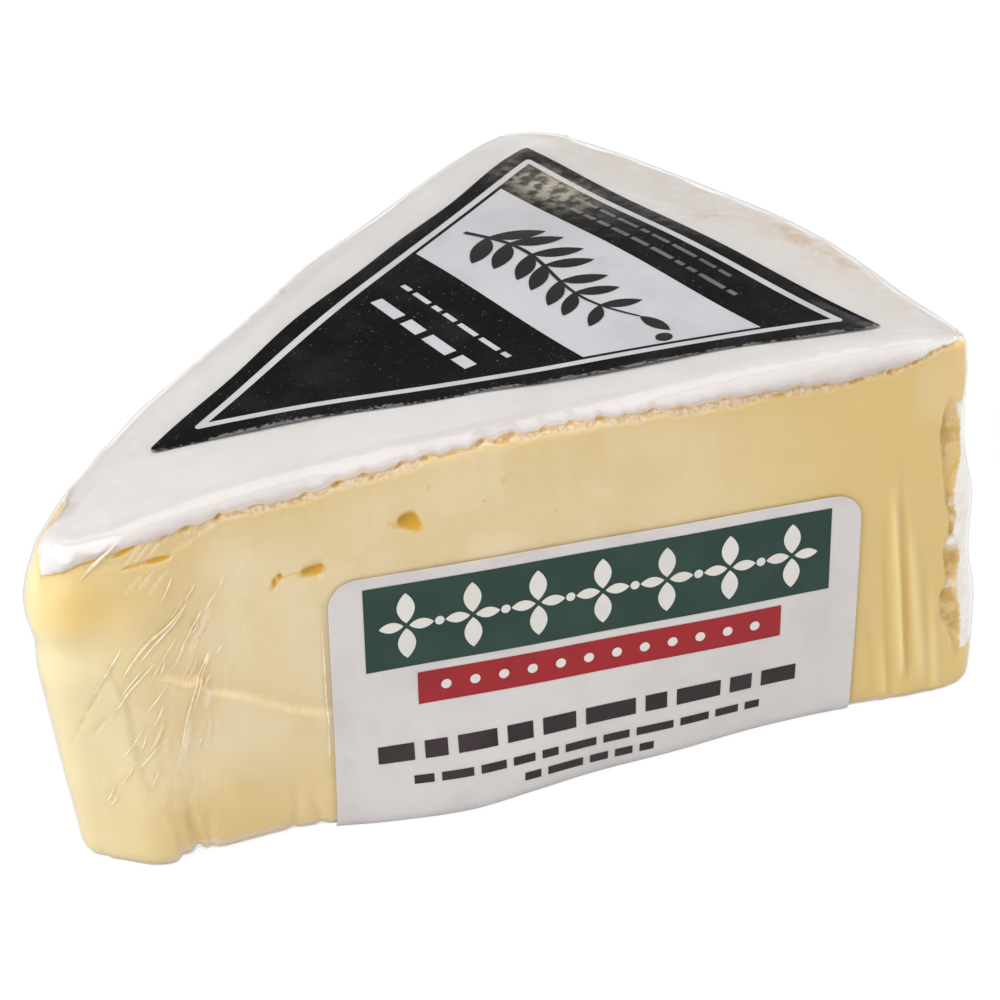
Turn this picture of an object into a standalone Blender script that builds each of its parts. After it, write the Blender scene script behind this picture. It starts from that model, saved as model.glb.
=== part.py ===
# A wedge of brie, cut from a wheel and wrapped in clear film, with a printed
# label on its top and a weighing label on the cut face that is in front.
# Metres, +Z up. The wedge rests on its flat base. Its tip points to -X, its
# rounded rim to +X, and the cut face with the weighing label looks to -Y.
import math

import bmesh
import bpy
import numpy as np

# The wheel that the wedge was cut from
WHEEL_RADIUS = 0.1078
WEDGE_ANGLE = math.radians(41.5)
HALF_ANGLE = WEDGE_ANGLE / 2
TOP_HEIGHT = 0.0445
TOP_PEAK_AT = 0.063
TIP_DROOP = 0.0054
RIM_DROOP = 0.0011
TOP_RIPPLE = 0.0002

# Roundings of the outline seen from above
TIP_RADIUS = 0.0046
CORNER_RADIUS = {"near": 0.0030, "far": 0.0070}

# Roundings of the top and bottom edges, for each side of the outline
SHOULDER = {"near": 0.0022, "rim": 0.0045, "far": 0.0026, "tip": 0.0028}
CORNER_SHOULDER = 0.0027
FOOT = {"near": 0.0018, "rim": 0.0030, "far": 0.0018, "tip": 0.0022}

# Soft paste sags: the cut faces swell, and the base of the tip is set back
NEAR_SWELL = 0.0009
NEAR_FOOT_SWELL = 0.0017
NEAR_FOOT_AT = 0.049
NEAR_FOOT_HOLLOW = 0.0008
NEAR_LEAN = math.radians(0.77)
FAR_STANDS_OUT = 0.0010
FAR_SWELL = 0.0008
FAR_WAVE = 0.0005
FAR_WAVE_LENGTH = 0.048
FAR_CORNER_DROOP = 0.0013
RIM_BELLY = 0.0008
TIP_SET_BACK = 0.0034
TIP_TOP_PULL = 0.0014
TIP_BELLY = 0.0009
TIP_REACH = (0.010, 0.018)

# The rind on the cut faces: its thickness, and the groove in the paste below it
RIND = 0.0019
RIND_AT_TIP = 0.0032
LIP_GROOVE = 0.00055
LIP_GROOVE_HEIGHT = 0.0032
LIP_RAGGED = 0.00045

# Marks in the near cut face: distance from the wheel's middle, height
EYE_HOLE_AT = (0.0440, 0.0347)
EYE_HOLE_SIZE = (0.0032, 0.0019)
EYE_HOLE_DEPTH = 0.0028
CRACK_FROM = (0.0306, 0.0311)
CRACK_TO = (0.0366, 0.0319)
CRACK_HALF_HEIGHT = 0.00042
CRACK_DEPTH = 0.0020
TEAR_AT = (0.0235, 0.0235)
TEAR_SIZE = (0.0080, 0.0050)
TEAR_DEPTH = 0.0009
DENT_AT = (0.0165, 0.0285)
DENT_SIZE = (0.0028, 0.0075)
DENT_DEPTH = 0.0006
DENT_SLANT = 0.35
NOTCH_AT = 0.0205
NOTCH_DEPTH = 0.0009

# Upright folds and the open groove behind the rind at the wide end
FOLDS_FROM = 0.0935
FOLD_AT = (0.0965, 0.0992)
FOLD_DEPTH = 0.0008
FOLD_HALF_WIDTH = 0.0008
FOLD_TOP = 0.027
GROOVE_AT = 0.1022
GROOVE_HALF_WIDTH = 0.0012
GROOVE_DEPTH = 0.0014
GROOVE_FROM = 0.004
GROOVE_TO = 0.037

# Paper labels and their gap to the wrapped cheese
GAP = 0.0003
PAPER = 0.0003
TOP_LABEL_LENGTH = 0.0698
TOP_LABEL_HALF_ANGLE = math.radians(22.7)
TOP_LABEL_TURN = math.radians(-2.1)
TOP_LABEL_TIP = (0.02515, 0.0030)
TOP_LABEL_CORNER = 0.0009
SIDE_LABEL_WIDTH = 0.0578
SIDE_LABEL_LEFT = 0.0363
SIDE_LABEL_TOP = 0.0300
SIDE_LABEL_TURN = math.radians(-2.1)
SIDE_LABEL_CORNER = 0.0030
SIDE_LABEL_CURL = math.radians(43)

# How finely each side of the outline and each height is divided
NEAR_COUNT = 34
FOLDS_COUNT = 12
CORNER_COUNT = {"near": 4, "far": 6}
RIM_COUNT = 20
FAR_COUNT = 26
TIP_COUNT = 10
FOOT_COUNT = 3
SIDE_COUNT = 15
LIP_COUNT = 3
SHOULDER_COUNT = 4
TOP_RINGS = 7

NEAR_ALONG = np.array([math.cos(HALF_ANGLE), -math.sin(HALF_ANGLE)])
NEAR_OUT = np.array([-math.sin(HALF_ANGLE), -math.cos(HALF_ANGLE)])
FAR_ALONG = np.array([math.cos(HALF_ANGLE), math.sin(HALF_ANGLE)])
FAR_OUT = np.array([-math.sin(HALF_ANGLE), math.cos(HALF_ANGLE)])


def remove_scene_objects():
    for thing in list(bpy.data.objects):
        bpy.data.objects.remove(thing, do_unlink=True)


def bump(value, middle, half_width):
    """A smooth hump of height 1 round middle."""
    return math.exp(-((value - middle) / half_width) ** 2)


def ease(value, start, end):
    """Rise smoothly from 0 at start to 1 at end."""
    share = min(max((value - start) / (end - start), 0.0), 1.0)
    return share * share * (3 - 2 * share)


def ragged(distance, seed):
    """An uneven wave along an edge, between about -1 and 1."""
    waves = ((0.0093, 0.9), (0.0051, 2.3), (0.0029, 4.1))
    total = sum(math.sin(2 * math.pi * distance / length + phase * seed) for length, phase in waves)
    return total / len(waves)


def top_height(x, y):
    """Height of the rind's top: level at the rim, lower towards the tip."""
    from_peak = x - TOP_PEAK_AT
    if from_peak < 0:
        height = TOP_HEIGHT - TIP_DROOP * (from_peak / (TOP_PEAK_AT / 1.2)) ** 2
    else:
        height = TOP_HEIGHT - RIM_DROOP * (from_peak / (WHEEL_RADIUS - TOP_PEAK_AT)) ** 2
    to_far_corner = math.hypot(x - FAR_ALONG[0] * WHEEL_RADIUS, y - FAR_ALONG[1] * WHEEL_RADIUS)
    height -= FAR_CORNER_DROOP * bump(to_far_corner, 0.0, 0.009)
    return height + TOP_RIPPLE * (math.sin(x / 0.0067 + 1.0) + math.sin(y / 0.0058 + x / 0.0110))


def near_offset(along, height):
    """How far the near cut face stands out from its flat plane, before any marks."""
    share = min(max(height / TOP_HEIGHT, 0.0), 1.0)
    length = min(max(along / WHEEL_RADIUS, 0.0), 1.0)
    swell = NEAR_SWELL * math.sin(math.pi * length) * math.sin(math.pi * share ** 0.6)
    hollow = ease(along, 0.055, 0.075) * (1 - ease(along, 0.092, 0.099))
    foot = NEAR_FOOT_SWELL * bump(along, NEAR_FOOT_AT, 0.020) - NEAR_FOOT_HOLLOW * hollow
    foot *= 1 - ease(height, 0.0, 0.016)
    lean = math.tan(NEAR_LEAN) * height
    return swell + foot - lean


def far_offset(along, height):
    """How far the far cut face stands out from its flat plane, before any marks."""
    share = min(max(height / TOP_HEIGHT, 0.0), 1.0)
    length = min(max(along / WHEEL_RADIUS, 0.0), 1.0)
    swell = FAR_SWELL * math.sin(math.pi * length) * math.sin(math.pi * share ** 0.7)
    wave = FAR_WAVE * math.cos(2 * math.pi * (along - 0.030) / FAR_WAVE_LENGTH) * ease(height, 0.010, 0.035)
    return FAR_STANDS_OUT + swell + wave * (1 - ease(along, 0.090, 0.100))


def tip_offset(reach, height):
    """The tip leans back towards its base; reach is the distance from the wheel's middle."""
    weight = 1 - ease(reach, *TIP_REACH)
    lean = (1 - min(height / (TOP_HEIGHT * 0.75), 1.0)) ** 1.2
    belly = TIP_BELLY * bump(height, 0.0055, 0.0060)
    pull = TIP_TOP_PULL * ease(height, 0.026, 0.037)
    return weight * (belly - TIP_SET_BACK * lean - pull)


def rim_offset(height):
    """The rim swells a little at half height."""
    return RIM_BELLY * bump(height, 0.014, 0.016)


def rind_thickness(along):
    """The rind's depth below the top edge of a cut face: thicker where it hangs at the tip."""
    at_tip = bump(along, 0.0200, 0.0070)
    return RIND + (RIND_AT_TIP - RIND) * at_tip + LIP_RAGGED * ragged(along, 3)


def lip_depth(along, drop):
    """The groove in the paste just under the rind's ragged lip; drop is from the top edge."""
    below = drop - rind_thickness(along)
    groove = ease(below, -0.0006, 0.0003) * (1 - ease(below, 0.0006, LIP_GROOVE_HEIGHT))
    return LIP_GROOVE * groove * (1 + 0.6 * ragged(along, 5))


def near_marks(along, height):
    """The depth of the tears, dents, folds and groove in the near cut face."""
    tear_length = bump(along, TEAR_AT[0], TEAR_SIZE[0])
    tear_height = bump(height, TEAR_AT[1], TEAR_SIZE[1])
    tear_step = ease(height, TEAR_AT[1] - TEAR_SIZE[1], TEAR_AT[1] - 0.6 * TEAR_SIZE[1])
    depth = TEAR_DEPTH * tear_length * tear_height * tear_step
    dent_middle = DENT_AT[0] + (height - DENT_AT[1]) * DENT_SLANT
    dent_height = bump(height, DENT_AT[1], DENT_SIZE[1])
    depth += DENT_DEPTH * bump(along, dent_middle, DENT_SIZE[0]) * dent_height
    depth += NOTCH_DEPTH * bump(along, NOTCH_AT, 0.0016) * (1 - ease(height, 0.001, 0.009))
    fold_height = ease(height, 0.0005, 0.004) * (1 - ease(height, FOLD_TOP - 0.006, FOLD_TOP))
    for place in FOLD_AT:
        depth += FOLD_DEPTH * bump(along, place, FOLD_HALF_WIDTH) * fold_height
    groove_height = ease(height, GROOVE_FROM, GROOVE_FROM + 0.004)
    groove_height *= 1 - ease(height, GROOVE_TO - 0.003, GROOVE_TO)
    wander = 0.0005 * math.sin(height / 0.0035)
    depth += GROOVE_DEPTH * bump(along, GROOVE_AT + wander, GROOVE_HALF_WIDTH) * groove_height
    return depth


def rim_marks(angle, height):
    """Shallow ripples round the rim."""
    return 0.00025 * (1 + math.sin(angle * 41 + height / 0.0060)) * ease(height, 0.002, 0.008)


def cut_end(side):
    """Where the rounded corner starts: distance along the cut face, and turn about the middle."""
    radius = CORNER_RADIUS[side]
    inner = WHEEL_RADIUS - radius
    return math.sqrt(inner ** 2 - radius ** 2), math.asin(radius / inner)


def outline_stations():
    """Points round the outline, each with its side, place, outward direction and own measure.

    They run from the tip along the near cut to the rim, round it, and back
    along the far cut and round the tip. The measure is the distance from the
    wheel's middle on a cut face, and the angle elsewhere.
    """
    stations = []
    start = TIP_RADIUS / math.tan(HALF_ANGLE)
    near_end, near_turn = cut_end("near")
    far_end, far_turn = cut_end("far")
    for along in np.linspace(start, FOLDS_FROM, NEAR_COUNT, endpoint=False):
        stations.append(("near", NEAR_ALONG * along, NEAR_OUT, along))
    for along in np.linspace(FOLDS_FROM, near_end, FOLDS_COUNT, endpoint=False):
        stations.append(("near", NEAR_ALONG * along, NEAR_OUT, along))
    stations += corner_stations("near", -HALF_ANGLE + near_turn, -HALF_ANGLE - math.pi / 2)
    for angle in np.linspace(-HALF_ANGLE + near_turn, HALF_ANGLE - far_turn, RIM_COUNT, endpoint=False):
        out = np.array([math.cos(angle), math.sin(angle)])
        stations.append(("rim", out * WHEEL_RADIUS, out, angle))
    stations += corner_stations("far", HALF_ANGLE - far_turn, HALF_ANGLE - far_turn)
    for along in np.linspace(far_end, start, FAR_COUNT, endpoint=False):
        stations.append(("far", FAR_ALONG * along, FAR_OUT, along))
    middle = np.array([TIP_RADIUS / math.sin(HALF_ANGLE), 0.0])
    far_tangent = math.pi / 2 + HALF_ANGLE
    near_tangent = 3 * math.pi / 2 - HALF_ANGLE
    for angle in np.linspace(far_tangent, near_tangent, TIP_COUNT, endpoint=False):
        out = np.array([math.cos(angle), math.sin(angle)])
        stations.append(("tip", middle + out * TIP_RADIUS, out, angle))
    return stations


def corner_stations(side, middle_angle, first):
    """The rounded corner between a cut face and the rim."""
    radius = CORNER_RADIUS[side]
    sweep = cut_end(side)[1] + math.pi / 2
    middle = (WHEEL_RADIUS - radius) * np.array([math.cos(middle_angle), math.sin(middle_angle)])
    stations = []
    for angle in np.linspace(first, first + sweep, CORNER_COUNT[side], endpoint=False):
        out = np.array([math.cos(angle), math.sin(angle)])
        stations.append(("corner", middle + out * radius, out, middle_angle))
    return stations


def edge_radius(radii, side, value):
    """The rounding of the top or bottom edge, which grows away from the rim's corners."""
    corner = CORNER_SHOULDER if radii is SHOULDER else radii["near"]
    if side == "corner":
        return corner
    if side == "rim":
        inward = ease(HALF_ANGLE - abs(value), 0.02, 0.14)
        return corner + (radii["rim"] - corner) * inward
    if side in ("near", "far"):
        rim_share = ease(value, WHEEL_RADIUS - 0.012, cut_end(side)[0])
        tip_share = 1 - ease(value, TIP_RADIUS / math.tan(HALF_ANGLE), TIP_REACH[1] * 1.25)
        return radii[side] + (radii["tip"] - radii[side]) * tip_share + (corner - radii[side]) * rim_share
    return radii["tip"]


def side_offset(station, height):
    """How far the smooth wrapped form stands out from the plain outline."""
    side, place, out, value = station
    reach = float(np.hypot(*place))
    if side == "near":
        return near_offset(value, height) + tip_offset(reach, height)
    if side == "far":
        return far_offset(value, height) + tip_offset(reach, height)
    if side == "tip":
        near_share = (value - (math.pi / 2 + HALF_ANGLE)) / (math.pi - WEDGE_ANGLE)
        start = TIP_RADIUS / math.tan(HALF_ANGLE)
        blend = near_share * near_offset(start, height) + (1 - near_share) * far_offset(start, height)
        return blend + tip_offset(reach, height)
    facing_near = max(float(np.dot(out, NEAR_OUT)), 0.0) ** 2
    facing_far = max(float(np.dot(out, FAR_OUT)), 0.0) ** 2
    near_part = facing_near * near_offset(cut_end("near")[0], height)
    far_part = facing_far * far_offset(cut_end("far")[0], height)
    return near_part + far_part + (1 - facing_near) * (1 - facing_far) * rim_offset(height)


def side_marks(station, height, top):
    """How deep the marks are below the smooth wrapped form."""
    side, place, out, value = station
    if side == "near":
        return lip_depth(value, top - height) + near_marks(value, height)
    if side == "far":
        return lip_depth(value, top - height)
    if side == "rim":
        return rim_marks(value, height)
    return 0.0


def wall_profile(station):
    """Inset and height of each level of one station, from the base to the flat of the top."""
    side, place, out, value = station
    shoulder = edge_radius(SHOULDER, side, value)
    foot = edge_radius(FOOT, side, value)
    top = top_height(place[0], place[1])
    levels = []
    for step in range(FOOT_COUNT):
        angle = math.pi / 2 * (1 - step / FOOT_COUNT)
        levels.append((foot * (1 - math.cos(angle)), foot * (1 - math.sin(angle))))
    lip = top - shoulder - LIP_GROOVE_HEIGHT
    for height in np.linspace(foot, lip, SIDE_COUNT, endpoint=False):
        levels.append((0.0, height))
    for height in np.linspace(lip, top - shoulder, LIP_COUNT, endpoint=False):
        levels.append((0.0, height))
    for step in range(SHOULDER_COUNT + 1):
        angle = math.pi / 2 * step / SHOULDER_COUNT
        levels.append((shoulder * (1 - math.cos(angle)), top - shoulder * (1 - math.sin(angle))))
    return levels, top


def wall_points(station):
    """The points up one station's wall, with every offset and mark."""
    side, place, out, value = station
    levels, top = wall_profile(station)
    points = []
    for inset, height in levels:
        offset = side_offset(station, height) - side_marks(station, height, top) - inset
        plan = place + out * offset
        points.append((plan[0], plan[1], height))
    return points


def shoulder_drop(distance, radius):
    """How far a rounded top edge lies below the flat at a distance from the side."""
    if distance >= radius:
        return 0.0
    return radius - math.sqrt(max(radius ** 2 - (radius - max(distance, 0.0)) ** 2, 0.0))


def top_surface(x, y):
    """Height of the wedge's top, with the rounding of its far edge."""
    to_far = -float(np.dot((x, y), FAR_OUT)) + far_offset(math.hypot(x, y), TOP_HEIGHT)
    return top_height(x, y) - shoulder_drop(to_far, SHOULDER["far"])


def near_surface(along, height, lift):
    """A point over the near cut face; lift is its distance from the smooth form."""
    foot = FOOT["near"]
    inset = 0.0
    rise = 0.0
    if height < foot:
        angle = math.asin(min((foot - height) / foot, 1.0))
        inset = foot * (1 - math.cos(angle)) - lift * (math.cos(angle) - 1)
        rise = -lift * math.sin(angle)
    plan = NEAR_ALONG * along + NEAR_OUT * (near_offset(along, height) + lift - inset)
    return (plan[0], plan[1], height + rise)


def wedge_mesh():
    """The closed skin of the wedge: its wall, its top rings and its flat base."""
    walls = [wall_points(station) for station in outline_stations()]
    count = len(walls)
    levels = len(walls[0])
    mesh = bmesh.new()
    rings = [[mesh.verts.new(wall[level]) for wall in walls] for level in range(levels)]
    crown = np.array([wall[-1] for wall in walls])
    middle = crown.mean(axis=0)
    for ring in range(1, TOP_RINGS):
        share = (ring / TOP_RINGS) ** 0.9
        loop = []
        for point in crown:
            x, y = point[:2] * (1 - share) + middle[:2] * share
            loop.append(mesh.verts.new((x, y, top_height(x, y))))
        rings.append(loop)
    for lower, upper in zip(rings, rings[1:]):
        for index in range(count):
            after = (index + 1) % count
            mesh.faces.new((lower[index], lower[after], upper[after], upper[index]))
    peak = mesh.verts.new((middle[0], middle[1], top_height(middle[0], middle[1])))
    for index in range(count):
        mesh.faces.new((rings[-1][index], rings[-1][(index + 1) % count], peak))
    mesh.faces.new(list(reversed(rings[0])))
    bmesh.ops.recalc_face_normals(mesh, faces=mesh.faces)
    return mesh


def add_object(name, mesh, materials, sharp=math.radians(50)):
    """Turn a bmesh into a smooth-shaded object."""
    data = bpy.data.meshes.new(name)
    mesh.to_mesh(data)
    mesh.free()
    thing = bpy.data.objects.new(name, data)
    bpy.context.scene.collection.objects.link(thing)
    for material in materials:
        data.materials.append(material)
    data.shade_smooth()
    data.set_sharp_from_angle(angle=sharp)
    return thing


def make_material(name, colour, roughness):
    material = bpy.data.materials.new(name)
    material.use_nodes = True
    shader = material.node_tree.nodes["Principled BSDF"]
    shader.inputs["Base Color"].default_value = (*colour, 1.0)
    shader.inputs["Roughness"].default_value = roughness
    shader.inputs["Metallic"].default_value = 0.0
    return material


def paint_paste(thing):
    """The cut faces below the rind take the second material."""
    for polygon in thing.data.polygons:
        x, y, z = polygon.center
        along = math.hypot(x, y)
        below_rind = top_height(x, y) - z > rind_thickness(along)
        above_base = z > RIND * 0.7
        cut = max(np.dot((x, y), NEAR_OUT), np.dot((x, y), FAR_OUT)) > -0.0025
        if below_rind and above_base and cut and along < WHEEL_RADIUS - RIND:
            polygon.material_index = 1


def pit_cutter(name, outline, depth):
    """A tapering plug that cuts a pit with this outline into the near face."""
    mesh = bmesh.new()
    middle = np.mean(outline, axis=0)
    loops = []
    for lift, size in ((0.0008, 1.1), (-depth * 0.5, 0.85), (-depth, 0.45)):
        loop = []
        for along, height in outline:
            place = middle + (np.array((along, height)) - middle) * size
            loop.append(mesh.verts.new(near_surface(place[0], place[1], lift)))
        loops.append(loop)
    for outer, inner in zip(loops, loops[1:]):
        for index in range(len(outer)):
            after = (index + 1) % len(outer)
            mesh.faces.new((outer[index], outer[after], inner[after], inner[index]))
    mesh.faces.new(list(reversed(loops[0])))
    mesh.faces.new(loops[-1])
    bmesh.ops.recalc_face_normals(mesh, faces=mesh.faces)
    cutter = add_object(name, mesh, [])
    cutter.hide_render = True
    cutter.display_type = "WIRE"
    return cutter


def eye_hole_outline():
    """A small leaning dome with a flat floor and a thin tail to the left."""
    width, height = EYE_HOLE_SIZE
    outline = []
    for angle in np.linspace(0, math.pi, 8):
        lean = 0.25 * width * math.sin(angle)
        outline.append((EYE_HOLE_AT[0] + width / 2 * math.cos(angle) + lean,
                        EYE_HOLE_AT[1] + height * math.sin(angle) ** 1.4))
    return outline


def crack_outline():
    """A long narrow split, thin in the middle and wider at its right end."""
    start, end = np.array(CRACK_FROM), np.array(CRACK_TO)
    across = np.array([-(end - start)[1], (end - start)[0]]) / np.linalg.norm(end - start)
    shares = np.linspace(0, 1, 8)
    upper = []
    lower = []
    for share in shares:
        half = CRACK_HALF_HEIGHT * (0.45 + 0.55 * math.cos(2 * math.pi * (share - 0.85)) ** 2)
        half *= 0.25 + 0.75 * math.sin(math.pi * (0.06 + 0.88 * share))
        point = start + (end - start) * share
        upper.append(point + across * half)
        lower.append(point - across * half)
    return upper + lower[::-1]


def cut_pit(thing, cutter):
    modifier = thing.modifiers.new(cutter.name, "BOOLEAN")
    modifier.operation = "DIFFERENCE"
    modifier.solver = "EXACT"
    modifier.object = cutter


def sheet_mesh(inner, outer):
    """A thin closed sheet between two grids of points."""
    mesh = bmesh.new()
    rows, columns = len(inner), len(inner[0])
    low = [[mesh.verts.new(point) for point in row] for row in inner]
    high = [[mesh.verts.new(point) for point in row] for row in outer]
    for row in range(rows - 1):
        for column in range(columns - 1):
            corners = ((row, column), (row, column + 1), (row + 1, column + 1), (row + 1, column))
            mesh.faces.new([high[r][c] for r, c in corners])
            mesh.faces.new([low[r][c] for r, c in reversed(corners)])
    border = [(0, c) for c in range(columns)]
    border += [(r, columns - 1) for r in range(1, rows)]
    border += [(rows - 1, c) for c in range(columns - 2, -1, -1)]
    border += [(r, 0) for r in range(rows - 2, 0, -1)]
    for here, after in zip(border, border[1:] + border[:1]):
        mesh.faces.new((low[here[0]][here[1]], low[after[0]][after[1]],
                        high[after[0]][after[1]], high[here[0]][here[1]]))
    bmesh.ops.recalc_face_normals(mesh, faces=mesh.faces)
    return mesh


def top_label_point(length, across):
    """Plan position on the top label: along its middle from the tip, and across it."""
    along = np.array([math.cos(TOP_LABEL_TURN), math.sin(TOP_LABEL_TURN)])
    side = np.array([-along[1], along[0]])
    return np.array(TOP_LABEL_TIP) + along * length + side * across


def make_top_label(material):
    """The triangular label that lies on the rind, with its three corners blunted."""
    blunt = TOP_LABEL_CORNER / math.sin(TOP_LABEL_HALF_ANGLE)
    rows = []
    for length in np.linspace(blunt, TOP_LABEL_LENGTH, 18):
        half = length * math.tan(TOP_LABEL_HALF_ANGLE)
        half = min(half, (TOP_LABEL_LENGTH - TOP_LABEL_CORNER) * math.tan(TOP_LABEL_HALF_ANGLE))
        rows.append([top_label_point(length, half * share) for share in np.linspace(-1, 1, 11)])
    inner = [[(x, y, top_surface(x, y) + GAP) for x, y in row] for row in rows]
    outer = [[(x, y, top_surface(x, y) + GAP + PAPER) for x, y in row] for row in rows]
    return add_object("top_label", sheet_mesh(inner, outer), [material])


def side_label_columns():
    """Distances across the side label, closer together at its rounded corners."""
    corner = [SIDE_LABEL_CORNER * (1 - math.cos(angle)) for angle in np.linspace(0, math.pi / 2, 5)]
    plain = list(np.linspace(SIDE_LABEL_CORNER, SIDE_LABEL_WIDTH - SIDE_LABEL_CORNER, 20))
    return corner[:-1] + plain + [SIDE_LABEL_WIDTH - distance for distance in corner[-2::-1]]


def make_side_label(material):
    """The label stuck over the film on the near cut face, lapped round the bottom edge."""
    foot = FOOT["near"]
    columns = side_label_columns()
    inner = []
    outer = []
    flat_rows = list(np.linspace(0, 1, 12))
    curled_rows = list(1 + np.linspace(0, SIDE_LABEL_CURL, 4)[1:])
    for lift, grid in ((GAP, inner), (GAP + PAPER, outer)):
        for share in flat_rows + curled_rows:
            row = []
            for across in columns:
                edge = min(across, SIDE_LABEL_WIDTH - across)
                top = SIDE_LABEL_TOP + across * math.sin(SIDE_LABEL_TURN)
                top -= shoulder_drop(edge, SIDE_LABEL_CORNER)
                height = top + (foot - top) * min(share, 1.0)
                height -= foot * math.sin(max(share - 1.0, 0.0))
                along = SIDE_LABEL_LEFT + across + (height - top) * math.sin(-SIDE_LABEL_TURN)
                row.append(near_surface(along, height, lift))
            grid.append(row)
    return add_object("side_label", sheet_mesh(inner, outer), [material])


def centre_over_origin(things):
    """Move the meshes so that the object stands over the origin."""
    corners = np.array([vertex.co for thing in things for vertex in thing.data.vertices])
    middle = (corners.min(axis=0) + corners.max(axis=0)) / 2
    for thing in bpy.data.objects:
        for vertex in thing.data.vertices:
            vertex.co.x -= middle[0]
            vertex.co.y -= middle[1]


def build():
    remove_scene_objects()
    rind = make_material("white rind", (0.74, 0.71, 0.67), 0.55)
    paste = make_material("pale yellow paste", (0.72, 0.55, 0.29), 0.40)
    black_paper = make_material("black label paper", (0.010, 0.009, 0.010), 0.35)
    white_paper = make_material("white label paper", (0.62, 0.58, 0.56), 0.50)
    cheese = add_object("cheese_wedge", wedge_mesh(), [rind, paste])
    paint_paste(cheese)
    cut_pit(cheese, pit_cutter("eye_hole_cutter", eye_hole_outline(), EYE_HOLE_DEPTH))
    cut_pit(cheese, pit_cutter("crack_cutter", crack_outline(), CRACK_DEPTH))
    top_label = make_top_label(black_paper)
    side_label = make_side_label(white_paper)
    centre_over_origin([cheese, top_label, side_label])


build()
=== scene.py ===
# %% [markdown]
# # A wedge of brie in clear film
#
# The real thing is one wedge cut from a wheel of soft, white-rinded cheese. It is
# wrapped in clear film, with a black label on its top under the film and a white
# weighing label on the cut face in front, over the film. A plain model of the three
# solids comes in first. It fixes every size and place, and the cells below give
# the wedge its finish: the cheese, the film, the two papers and their print.

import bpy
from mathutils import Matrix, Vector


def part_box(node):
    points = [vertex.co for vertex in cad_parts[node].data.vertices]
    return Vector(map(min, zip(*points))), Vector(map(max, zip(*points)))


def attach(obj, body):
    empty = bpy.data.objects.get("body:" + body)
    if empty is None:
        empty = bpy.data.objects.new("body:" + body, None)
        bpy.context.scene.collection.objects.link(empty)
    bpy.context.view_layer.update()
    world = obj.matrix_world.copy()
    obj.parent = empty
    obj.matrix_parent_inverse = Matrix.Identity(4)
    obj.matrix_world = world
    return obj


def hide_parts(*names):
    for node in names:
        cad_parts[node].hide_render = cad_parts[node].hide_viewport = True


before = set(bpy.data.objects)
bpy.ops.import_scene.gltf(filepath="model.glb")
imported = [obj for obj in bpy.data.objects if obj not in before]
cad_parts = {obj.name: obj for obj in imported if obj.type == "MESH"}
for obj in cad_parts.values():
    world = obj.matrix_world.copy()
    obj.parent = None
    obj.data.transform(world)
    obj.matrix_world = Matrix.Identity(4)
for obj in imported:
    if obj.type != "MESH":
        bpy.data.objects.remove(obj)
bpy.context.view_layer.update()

# %% Modules and the unit
import itertools
import math

import bpy
import numpy as np
from mathutils import Quaternion, Vector

MM = 0.001
rng = np.random.default_rng(20)

# %% [markdown]
# ## The camera
#
# The camera comes first, because every later judgement is made through it. The
# photograph looks down on the wedge from the left, from about a forearm's length,
# with a long lens. An aim point, two angles, a small roll and a distance are easier
# to read and to change than a matrix.

# %% Camera
AZIMUTH = math.radians(-36.77)
ELEVATION = math.radians(31.32)
ROLL = math.radians(-2.89)
DISTANCE = 324.7 * MM
AIM = Vector((5.36, -2.53, 22.86)) * MM
LENS_ON_FULL_FRAME = 108

back = Vector((math.sin(AZIMUTH) * math.cos(ELEVATION),
               -math.cos(AZIMUTH) * math.cos(ELEVATION),
               math.sin(ELEVATION)))
camera = bpy.data.objects.new("camera", bpy.data.cameras.new("camera"))
bpy.context.scene.collection.objects.link(camera)
camera.location = AIM + back * DISTANCE
camera.rotation_mode = "QUATERNION"
camera.rotation_quaternion = (-back).to_track_quat("-Z", "Y") @ Quaternion((0, 0, 1), ROLL)
camera.data.lens = LENS_ON_FULL_FRAME
camera.data.clip_start = 0.01
bpy.context.scene.camera = camera
bpy.context.scene.view_settings.view_transform = "Standard"
print("camera at", [round(value, 4) for value in camera.location])

# %% [markdown]
# ## The form of the wedge
#
# A wedge of soft cheese is a slice of a drum whose cut faces swell a little and
# whose tip sags. The plain model is too coarse for a close look, so the form is
# worked out again here, from the same sizes, and can then be divided as finely as
# the torn rind needs. It is first made round the wheel's middle, where "along" is
# simply the distance from the middle.

# %% Sizes of the wheel and of its roundings
WHEEL_RADIUS = 107.8 * MM
WEDGE_ANGLE = math.radians(41.5)
HALF_ANGLE = WEDGE_ANGLE / 2
TOP_HEIGHT = 44.5 * MM
TOP_PEAK_AT = 63 * MM
TIP_DROOP = 5.4 * MM
RIM_DROOP = 0.9 * MM
TIP_DIP = 0.6 * MM
TOP_RIPPLE = 0.2 * MM
TOP_SAG_AT = (22, 29, 38, 50, 60, 70, 90)
TOP_SAG = (0, 0.25, 1.0, 1.65, 1.35, 0.7, 0.25)
TIP_RADIUS = 4.6 * MM
CORNER_RADIUS = {"near": 3.0 * MM, "far": 7.0 * MM}
SHOULDER = {"near": 2.8 * MM, "rim": 5.4 * MM, "far": 3.2 * MM, "tip": 2.3 * MM}
CORNER_SHOULDER = {"near": 1.3 * MM, "far": 3.3 * MM}
SQUARENESS = 2.5
FOOT = {"near": 1.4 * MM, "rim": 3.0 * MM, "far": 1.8 * MM, "tip": 2.2 * MM}
TIP_START = TIP_RADIUS / math.tan(HALF_ANGLE)
TIP_ARC = TIP_RADIUS * (math.pi - WEDGE_ANGLE)

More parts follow.
